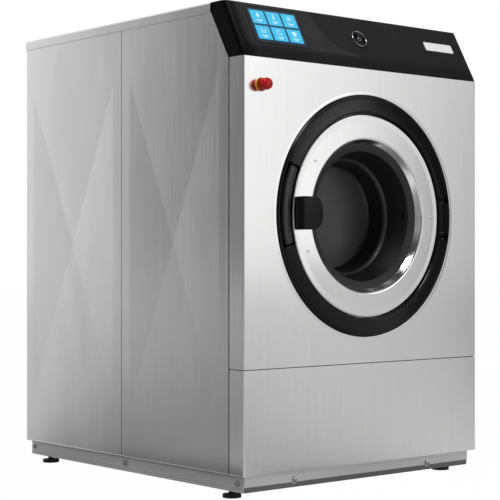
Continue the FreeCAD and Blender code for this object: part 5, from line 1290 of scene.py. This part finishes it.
@dataclass
class Door(SubAssembly):
    """Door leaf, its surround, hinge, latch and lock."""

    face_depth: float = -0.0045
    ring_outer: float = 0.266
    ring_inner: float = 0.200
    ring_slope: float = 0.002
    lip_lean: float = 0.0085
    lip_depth: float = 0.0112
    mouth: float = 0.172
    mouth_depth: float = 0.018
    seal_back: float = 0.0262
    sheet: float = 0.0015
    screw_places: tuple[Pair, ...] = (
        (0.238, 22.0), (0.238, 0.0), (0.238, -21.0), (0.234, 144.0), (0.234, 203.5),
    )
    screw_radius: float = 0.0042
    screw_height: float = 0.0016
    slot_start: float = 7.9
    slot_end: float = 12.2
    pocket_start: float = 154.0
    pocket_end: float = 196.6
    handle_outer: float = -0.258
    handle_body: float = -0.226
    handle_nose: float = -0.192
    handle_middle: float = 0.0028
    handle_half: float = 0.0418
    handle_height: float = 0.0325
    handle_power: float = 0.8
    handle_round: float = 0.003
    step_radius: float = 0.1492
    step_depth: float = 0.0800
    recess_shade_place: Triple = (0.1690, 0.0337, 2.0)
    recess_shade_lean: Pair = (0.958, 0.286)
    vent_size: Triple = (0.010, 0.024, 0.0008)
    recess_shade_corner: float = 0.0048
    recess_shade_rim: float = 0.0003

    def build(self) -> None:
        """Dresses the door and adds its turned faces, handle block, bowl details and screws."""
        look = self.finishes
        self.dress(look.collar, "door_collar")
        self.dress(look.grip, "door_grip_bar")
        self.dress(look.matt, "hinge_arms", "hinge_bracket")
        self.dress(look.ring, "door_ring")
        self.steel_ring()
        self.dress(look.block, "door_handle", "door_back_ring")
        self.dress(look.rubber, "door_seal")
        self.seal_face()
        self.dress(look.bowl, "door_glass")
        self.surround()
        self.handle_block()
        self.bowl_details()
        self.dress(look.plated, "hinge_pin", "door_latch", "lock_bolt")
        self.dress(look.lock, "door_lock")
        self.ring_screws()

    def surround(self) -> None:
        """Faces the surround with a sloping ring and a bead at its edge, open at the pocket and the hinge arms."""
        face = [
            (0.2704, 0.0010), (0.2704, -0.0020), (0.2706, -0.0046), (0.2716, -0.0068), (0.2734, -0.0086),
            (0.2755, -0.0093), (0.2762, -0.00925), (0.3068, -0.0042), (0.3076, -0.0039), (0.3082, -0.0031),
        ]
        bead = [
            (0.3083, -0.0022), (0.3092, -0.0022), (0.3093, -0.0030), (0.3098, -0.0037), (0.3110, -0.0041),
            (0.3130, -0.0038), (0.3146, -0.0029), (0.3155, -0.0015), (0.3158, 0.0002), (0.3158, 0.0050),
        ]
        facing_ring = Piece("surround_face")
        for start, end in ((self.slot_end, self.pocket_start), (self.pocket_end, 360 - self.slot_end)):
            facing_ring.arc(face + bead, DOOR_CENTRE, start, end, facets=110)
        facing_ring.arc(face + bead, DOOR_CENTRE, -self.slot_start, self.slot_start, facets=12)
        facing_ring.arc([*bead, (0.3083, 0.0050)], DOOR_CENTRE, self.pocket_start, self.pocket_end, facets=32)
        rim = [
            (0.3112, 0.0050), (0.3112, -0.0034), (0.3116, -0.0040), (0.3130, -0.0038), (0.3146, -0.0029),
            (0.3155, -0.0015), (0.3158, 0.0002), (0.3158, 0.0050),
        ]
        facing_ring.arc(rim, DOOR_CENTRE, self.slot_start, self.slot_end, facets=5)
        facing_ring.arc(rim, DOOR_CENTRE, -self.slot_end, -self.slot_start, facets=5)
        facing_ring.finish(self.finishes.collar, "collar_black", "cabinet")
        edge = Piece("surround_trim")
        outline = [
            (0.3262, 0.0006), (0.3262, -0.00004), (0.3258, -0.00008), (0.3196, -0.0002), (0.3192, -0.0002),
            (0.3187, 0.0), (0.3184, 0.0005), (0.3184, 0.0045), (0.3226, 0.0045), (0.3236, 0.0006),
        ]
        edge.turn(outline, DOOR_CENTRE, Y_AXIS, facets=240)
        edge.finish(self.finishes.front, "stainless_front", "cabinet")

    def handle_block(self) -> None:
        """Builds the handle block with its rounded inner end."""
        middle, half, power = self.handle_middle, self.handle_half, self.handle_power
        reach = self.handle_nose - self.handle_body
        nose = [
            (
                self.handle_body + reach * math.cos(turn) ** power,
                middle + half * math.copysign(abs(math.sin(turn)) ** power, turn),
            )
            for turn in angles(-89, 89, 18)
        ]
        outline = [(self.handle_outer, middle - half), *nose, (self.handle_outer, middle + half)]
        place = Matrix.Translation((0, deep(self.face_depth), DOOR_Z)) @ Matrix.Rotation(math.pi / 2, 4, "X")
        block = Piece("door_handle_block")
        block.polygon(place, outline, self.handle_height)
        block.soften(50, self.handle_round)
        block.finish(self.finishes.block, "door_black", "door", ["door_handle"])

    def bowl_details(self) -> None:
        """Adds the rounded step round the bowl, and a flat dark plate on its wall as painted shade for a small recess.
        """
        ridge = Piece("bowl_step")
        radius, depth = self.step_radius, self.step_depth
        section = [
            (radius + 0.0090, depth - 0.0005), (radius + 0.0074, depth - 0.0003), (radius + 0.0060, depth + 0.0006),
            (radius + 0.0008, depth + 0.0093), (radius, depth + 0.0112), (radius + 0.0002, depth + 0.0130),
            (radius + 0.0018, depth + 0.0145), (radius + 0.0090, depth + 0.0145),
        ]
        ridge.turn(section, DOOR_CENTRE, Y_AXIS, facets=128)
        ridge.finish(self.finishes.ridge, "bowl_glass", "door")
        # A flat matt black plate stands in for the shade inside a small recess of the bowl wall.
        radius, depth, angle = self.recess_shade_place
        turn = math.radians(angle)
        across, ahead = self.recess_shade_lean
        inward = Vector((-across * math.cos(turn), -ahead, -across * math.sin(turn)))
        seat = Vector((radius * math.cos(turn), deep(depth), DOOR_Z + radius * math.sin(turn)))
        recess_shade = Piece("bowl_vent")
        recess_shade.plate(facing(seat, inward), *self.vent_size, self.recess_shade_corner, self.recess_shade_rim)
        recess_shade.finish(self.finishes.matt, "bowl_glass", "door")

    def steel_ring(self) -> None:
        """Turns the ring with rounded edges and a polished lip that leans into the bowl."""
        outer, inner, face, sheet = self.ring_outer, self.ring_inner, self.face_depth, self.sheet
        rim = face + self.ring_slope
        lip = inner - self.lip_lean
        outline = [
            (outer, face + 0.008), (outer, rim + 0.0028), (outer - 0.0008, rim + 0.0009), (outer - 0.0028, rim),
            (outer - 0.0034, rim - 0.00001), (inner + 0.0066, face), (inner + 0.006, face),
            (inner + 0.0032, face + 0.0006), (inner + 0.0012, face + 0.0022), (inner, face + 0.0042),
            (inner - 0.0003, face + 0.0047), (lip, self.lip_depth), (lip + sheet, self.lip_depth),
            (inner + sheet, face + 0.0052), (inner + 0.006, face + sheet), (outer - 0.0036, face + sheet),
            (outer - sheet, face + 0.0036), (outer - sheet, face + 0.008),
        ]
        ring = Piece("door_ring_face")
        ring.turn(outline, DOOR_CENTRE, Y_AXIS, facets=240)
        ring.finish(self.finishes.ring, "door_steel", "door", ["door_ring"])

    def seal_face(self) -> None:
        """Turns the seal's sloping face between the ring's lip and the bowl's mouth."""
        rim, root = self.ring_inner - self.lip_lean, self.lip_depth
        outline = [
            (rim + 0.0018, root + 0.0016), (rim + 0.0008, root), (rim - 0.0006, root - 0.0004),
            (rim - 0.0014, root - 0.0002), (self.mouth + 0.0022, self.mouth_depth - 0.0007),
            (self.mouth + 0.0006, self.mouth_depth + 0.0004), (self.mouth, self.mouth_depth + 0.002),
            (self.mouth + 0.0002, self.seal_back), (rim + 0.0018, self.seal_back),
        ]
        face = Piece("door_seal_face")
        face.turn(outline, DOOR_CENTRE, Y_AXIS, facets=160)
        face.finish(self.finishes.rubber, "seal_rubber", "door")

    def ring_screws(self) -> None:
        """Puts the screw heads on the ring's face."""
        screws = Piece("door_ring_screws")
        for radius, angle in self.screw_places:
            turn = math.radians(angle)
            fall = self.ring_slope * (radius - self.ring_inner) / (self.ring_outer - self.ring_inner)
            seat = Vector((radius * math.cos(turn), deep(self.face_depth + fall), DOOR_Z + radius * math.sin(turn)))
            screws.fastener(facing(seat, -Y_AXIS), self.screw_radius, self.screw_height)
        screws.finish(self.finishes.ring, "door_steel", "door")


@dataclass
class WashGroup(SubAssembly):
    """Tub, drum, drive, suspension, hoses and bellows."""

    bellows_front: float = 0.039
    bellows_back: float = 0.088
    bellows_lip: float = 0.178
    bellows_root: float = 0.208
    bellows_back_grip: float = 0.010
    fold_forward: float = 0.004
    fold_round: float = 0.0012
    neck_radius: float = 0.2183
    neck_depth: float = 0.070
    rubber_wall: float = 0.004
    drum_radius: float = 0.3285
    hole_radius: float = 0.0026
    hole_root: float = 0.0003
    hole_sheet: float = 0.0005
    hole_rows: int = 18
    holes_round: int = 66
    hole_start: float = 0.150
    hole_end: float = 0.575
    lifter_start: float = 90.0
    lifter_spacing: float = 120.0
    lifter_half_angle: float = 12.0
    spring_places: tuple[Pair, ...] = ((-0.305, 0.18), (-0.305, 0.6), (0.305, 0.18), (0.305, 0.6))
    spring_radius: float = 0.028
    spring_wire: float = 0.0045
    spring_low: float = 0.0668
    spring_high: float = 0.3138
    spring_turns: int = 6
    pulley_radius: float = 0.230
    motor_pulley_radius: float = 0.045
    motor_z: float = 0.2266
    belt_depth: float = 0.797
    belt_width: float = 0.020
    belt_thickness: float = 0.005
    belt_inner: float = 0.0003
    belt_groove: float = 0.0015
    belt_ribs: int = 5
    drain_place: Pair = (-0.170, 0.4)
    drain_bore: float = 0.0343
    drain_ends: Pair = (0.2075, 0.3545)
    fill_place: Pair = (-0.180, 0.59)
    fill_bore: float = 0.0263
    fill_top: float = 1.1117
    hose_ribs: int = 5
    hose_rib_outline: tuple[Pair, ...] = ((0.0, 0.0), (0.003, 0.25), (0.004, 0.5), (0.003, 0.75))

    def build(self) -> None:
        """Dresses the inner pieces and replaces the soft ones."""
        look = self.finishes
        self.dress(look.tub, "tub_shell")
        self.dress(look.cast, "counterweights", "bearing_housing")
        self.dress(look.plated, "shaft_bearings", "damper_rods")
        self.dress(look.drum, "drum_shell", "drum_front", "drum_lifters")
        self.dress(look.galvanised, "drum_spider")
        self.dress(look.alloy, "drum_pulley", "motor_pulley")
        self.dress(look.rubber, "drive_belt", "suspension_springs", "drain_hose", "fill_hose", "door_bellows")
        self.dress(look.motor, "drive_motor", "inverter_box", "damper_cylinders")
        self.dress(look.base, "tub_cradle")
        self.dress(look.grey, "drain_valve", "dispenser_box")
        self.dress(look.pale, "inlet_valves")
        self.dress(look.lock, "cable_gland")
        self.wash_holes()
        self.springs()
        self.bellows()
        self.hose("drain_hose", self.drain_place, self.drain_bore, *self.drain_ends)
        self.hose("fill_hose", self.fill_place, self.fill_bore, self.low_of("fill_hose"), self.fill_top)
        self.belt()

    def low_of(self, node: str) -> float:
        """Gives the lowest z of a node."""
        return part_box(node)[0].z

    def wash_holes(self) -> None:
        """Sets small dark discs over the drum's inner wall, clear of the lifters, as painted shade for its wash holes.
        """
        holes = Piece("drum_wash_holes")
        for row in range(self.hole_rows):
            depth = self.hole_start + (self.hole_end - self.hole_start) * row / (self.hole_rows - 1)
            for step in range(self.holes_round):
                angle = 360.0 * (step + 0.5 * (row % 2)) / self.holes_round
                half = self.lifter_spacing / 2
                off = (angle - self.lifter_start + half) % self.lifter_spacing - half
                if abs(off) < self.lifter_half_angle:
                    continue
                turn = math.radians(angle)
                out = Vector((math.cos(turn), 0, math.sin(turn)))
                seat = Vector((0, deep(depth), DOOR_Z)) + out * (self.drum_radius + self.hole_root)
                holes.disc(facing(seat, -out), self.hole_radius, self.hole_sheet, segments=8)
        holes.finish(self.finishes.hole_shade, "drum_steel", "drum")

    def springs(self) -> None:
        """Winds the four springs."""
        coils = Piece("suspension_coils")
        height = self.spring_high - self.spring_low
        for x, depth in self.spring_places:
            foot = Vector((x, deep(depth), self.spring_low))
            coils.coil(foot, self.spring_radius, self.spring_wire, height, self.spring_turns)
        made = coils.finish(self.finishes.motor, "spring_steel", "", ["suspension_springs"])
        self.between(made, Vector((0, 0, self.spring_low)), Vector((0, 0, self.spring_high)))

    def between(self, made: bpy.types.Object, start: Vector, end: Vector) -> None:
        """Bakes the placement of a soft piece that runs from the cabinet to the tub into its mesh."""
        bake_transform(made)

    def bellows(self) -> None:
        """Turns the folded door bellows."""
        wall, lip, root, neck = self.rubber_wall, self.bellows_lip, self.bellows_root, self.neck_radius
        front, back = self.bellows_front, self.bellows_back
        middle = (front + back) / 2 - self.fold_forward
        outline = [
            (lip, front), (root + wall, front), (root + wall, front + wall), (root, front + wall),
            (root - wall, middle - 0.003), (root + wall, middle + wall * 0.5), (neck + wall, self.neck_depth),
            (neck + wall, back), (neck, back), (neck, self.neck_depth), (root, middle + wall * 1.5),
            (root - 2 * wall, middle + 0.001), (root - wall, front + wall), (lip, front + wall),
        ]
        folds = Piece("door_bellows_folds")
        folds.turn(outline, DOOR_CENTRE, Y_AXIS, facets=128)
        folds.soften(20, self.fold_round)
        made = folds.finish(self.finishes.rubber, "seal_rubber", "", ["door_bellows"])
        gripped = deep(back - self.bellows_back_grip)
        self.between(made, Vector((0, deep(front + wall), DOOR_Z)), Vector((0, gripped, DOOR_Z)))

    def belt(self) -> None:
        """Runs a ribbed belt round both pulleys."""
        belt = Piece("drive_belt_ribs")
        inner, outer = self.belt_inner, self.belt_inner + self.belt_thickness
        section = [(inner, 0.0), (outer, 0.0), (outer, self.belt_width)]
        rib = self.belt_width / self.belt_ribs
        for step in range(self.belt_ribs, 0, -1):
            section += [(inner, rib * step - rib * 0.2), (inner + self.belt_groove, rib * (step - 0.5))]
        shrink = self.pulley_radius - self.motor_pulley_radius
        lean = math.asin(shrink / (DOOR_Z - self.motor_z))
        top, low = Vector((0, 0, DOOR_Z)), Vector((0, 0, self.motor_z))
        right = Vector((math.cos(lean), 0, -math.sin(lean)))
        left = Vector((-right.x, 0, right.z))
        drawn = belt.loop(
            top + right * (self.pulley_radius + out) + Y_AXIS * deep(self.belt_depth + along) for out, along in section
        )
        for centre, angle, facets, run in (
            (top, math.pi + 2 * lean, 64, low - top - left * shrink),
            (low, math.pi - 2 * lean, 32, top - low + right * shrink),
        ):
            rim = edges_in(belt.sweep(drawn, centre, -Y_AXIS, angle, facets))
            fresh = bmesh.ops.extrude_edge_only(belt.mesh, edges=rim)["geom"]
            drawn = verts_in(fresh) + edges_in(fresh)
            bmesh.ops.translate(belt.mesh, verts=verts_in(fresh), vec=run)
        belt.weld(1e-5)
        belt.finish(self.finishes.rubber, "belt_rubber", "tub", ["drive_belt"])

    def hose(self, node: str, axis: Pair, bore: float, low: float, high: float) -> None:
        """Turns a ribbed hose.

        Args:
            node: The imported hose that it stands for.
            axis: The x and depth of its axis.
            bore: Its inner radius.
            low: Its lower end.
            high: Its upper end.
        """
        pitch = (high - low) / self.hose_ribs
        outer = bore + self.rubber_wall
        outline = [(bore, low)]
        for step in range(self.hose_ribs):
            start = low + pitch * step
            outline += [(outer + proud, start + pitch * share) for proud, share in self.hose_rib_outline]
        outline += [(outer, high), (bore, high)]
        tube = Piece(node + "_ribs")
        tube.turn(outline, Vector((axis[0], deep(axis[1]), 0)), Z_AXIS, facets=64)
        made = tube.finish(self.finishes.rubber, "hose_rubber", "", [node], sharp=60.0)
        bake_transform(made)


@dataclass
class Studio:
    """Camera, light and floor."""

    focal: float = 105.5
    yaw: float = 39.98
    eye: Triple = (-2.718, -3.27455, 0.5965)
    rise_of_frame: float = 0.0202
    light_level: float = 1.3
    high_level: float = 0.15
    near_shade_level: float = 0.38
    rear_blend: float = 0.15
    raised_span: Pair = (0.15, 0.22)
    overhead_span: Pair = (0.3, 0.75)
    near_shade_span: Pair = (0.78, 0.87)
    contact_reach: float = 0.02
    contact_span: Pair = (0.1, 0.6)
    contact_shadow_colour: Colour = (0.3, 0.3, 0.31)
    floor_half: float = 30.0
    lamp_place: Triple = (-0.85, -0.93, 2.84)
    lamp_aim: Triple = (0.0, -0.5, 0.7)
    lamp_size: float = 0.9
    lamp_power: float = 36.0
    front_levels: Levels = (
        (-1.0, 0.24), (-0.85, 0.22), (-0.7, 0.14), (-0.1, 0.15), (0.1, 0.3), (0.3, 0.36), (0.5, 1.06), (0.6, 1.05),
        (0.645, 0.93), (0.66, 0.92), (0.70, 0.81), (0.75, 0.46), (0.80, 0.2), (0.86, 0.04), (1.0, 0.03),
    )
    upper_levels: Levels = (
        (-1.0, 0.3), (-0.85, 0.26), (-0.7, 0.14), (-0.1, 0.15), (0.1, 0.3), (0.3, 0.8), (0.45, 1.6), (0.62, 2.0),
        (0.66, 1.8), (0.72, 0.3), (0.78, 0.08), (1.0, 0.04),
    )
    rear_levels: Levels = (
        (-1.0, 0.2), (-0.7, 0.05), (-0.61, 0.1), (-0.5, 1.0), (-0.3, 1.0), (-0.15, 0.55), (1.0, 0.5),
    )
    floor_levels: Levels = (
        (-1.0, 0.41), (-0.94, 0.34), (-0.86, 0.3), (-0.68, 0.37), (-0.5, 0.9), (-0.3, 0.7), (0.0, 0.45), (0.4, 0.56),
        (0.6, 0.68), (0.735, 0.66), (0.78, 0.15), (1.0, 0.1),
    )

    def build(self) -> None:
        """Sets the camera, the light and the floor."""
        scene = bpy.context.scene
        scene.view_settings.view_transform = "Standard"
        data = bpy.data.cameras.new("camera")
        data.lens = self.focal
        data.shift_y = self.rise_of_frame
        data.clip_end = 100
        camera = bpy.data.objects.new("camera", data)
        camera.location = self.eye
        camera.rotation_euler = (math.radians(90), 0, math.radians(-self.yaw))
        scene.collection.objects.link(camera)
        scene.camera = camera
        self.sky()
        self.lamp("key")
        self.floor()

    def sky(self) -> None:
        """Surrounds the washer with soft panels of light and dark gaps between them."""
        world = bpy.data.worlds.new("studio")
        bpy.context.scene.world = world
        world.use_nodes = True
        nodes = Nodes(world.node_tree)
        lit = world.node_tree.nodes["Background"]
        parts = nodes.split(nodes.add("TexCoord").outputs["Generated"])
        behind = nodes.spread(parts["Y"], -self.rear_blend, self.rear_blend)
        raised = nodes.spread(parts["Z"], *self.raised_span)
        stops = (self.front_levels, self.upper_levels, self.rear_levels)
        front, upper, rear = (nodes.levels(parts["X"], levels) for levels in stops)
        nodes.feed(lit.inputs["Color"], nodes.mix(behind, nodes.mix(raised, front, upper), rear))
        overhead = nodes.spread(parts["Z"], *self.overhead_span)
        ahead = nodes.math("SUBTRACT", 1.0, behind)
        dimmed = nodes.spread(nodes.math("MULTIPLY", overhead, ahead), 0.0, 1.0, self.light_level, self.high_level)
        nodes.feed(lit.inputs["Strength"], dimmed)
        plain = nodes.add("Background")
        plain.inputs["Color"].default_value = (1, 1, 1, 1)
        seen = nodes.add("MixShader")
        nodes.feed(seen.inputs[0], nodes.add("LightPath").outputs["Is Camera Ray"])
        nodes.feed(seen.inputs[1], lit.outputs[0])
        nodes.feed(seen.inputs[2], plain.outputs[0])
        nodes.feed(world.node_tree.nodes["World Output"].inputs["Surface"], seen.outputs[0])

    def lamp(self, name: str) -> None:
        """Hangs the soft round lamp above the front."""
        data = bpy.data.lights.new(name, "AREA")
        data.shape = "DISK"
        data.size = self.lamp_size
        data.energy = self.lamp_power
        made = bpy.data.objects.new(name, data)
        made.location = self.lamp_place
        aim = Vector(self.lamp_aim) - Vector(self.lamp_place)
        made.rotation_euler = aim.to_track_quat("-Z", "Y").to_euler()
        bpy.context.scene.collection.objects.link(made)

    def floor(self) -> None:
        """Lays a wide pale floor, with a painted contact shadow close under the washer and painted shade near it in
        what the washer mirrors.
        """
        graph = Graph("floor_pale")
        cloud = graph.noise(graph.place((0.6, 0.6, 0.6)), 1.0, 2.0)
        # Painted contact shadow: ambient occlusion darkens the floor that the camera sees close under the washer.
        near = graph.add("AmbientOcclusion", samples=8)
        near.inputs["Distance"].default_value = self.contact_reach
        white = graph.mix(cloud, (0.985, 0.985, 0.985), (1.0, 1.0, 1.0))
        contact_shadow = graph.spread(near.outputs["AO"], *self.contact_span, 1.0, 0.0)
        seen = graph.mix(contact_shadow, white, self.contact_shadow_colour)
        around = graph.add("VectorMath", operation="NORMALIZE")
        graph.feed(around.inputs[0], graph.place())
        reach = graph.add("VectorMath", operation="LENGTH")
        graph.feed(reach.inputs[0], graph.place())
        level = graph.levels(graph.split(around.outputs["Vector"])["X"], self.floor_levels)
        # Painted shade: the floor that the washer mirrors is darker near it.
        share = graph.spread(reach.outputs["Value"], *self.near_shade_span, self.near_shade_level, 1.0)
        mirrored = graph.mix(share, BLACK, level)
        tone = graph.mix(graph.add("LightPath").outputs["Is Camera Ray"], mirrored, seen)
        graph.shade(base_color=BLACK, specular_ior_level=0.0, emission_color=tone, emission_strength=1.0)
        sheet = bmesh.new()
        bmesh.ops.create_grid(sheet, x_segments=4, y_segments=4, size=self.floor_half)
        data = bpy.data.meshes.new("floor")
        sheet.to_mesh(data)
        sheet.free()
        data.materials.append(graph.material)
        made = bpy.data.objects.new("floor", data)
        bpy.context.scene.collection.objects.link(made)


def main() -> None:
    """Builds the washer's looks."""
    logging.basicConfig(level=logging.INFO, format="%(message)s")
    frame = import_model()
    finishes = Finishes()
    Studio().build()
    for group in (Cabinet, Console, EmergencyStop, Door, WashGroup):
        group(frame["nodes"], finishes).build()


if __name__ == "__main__":
    main()
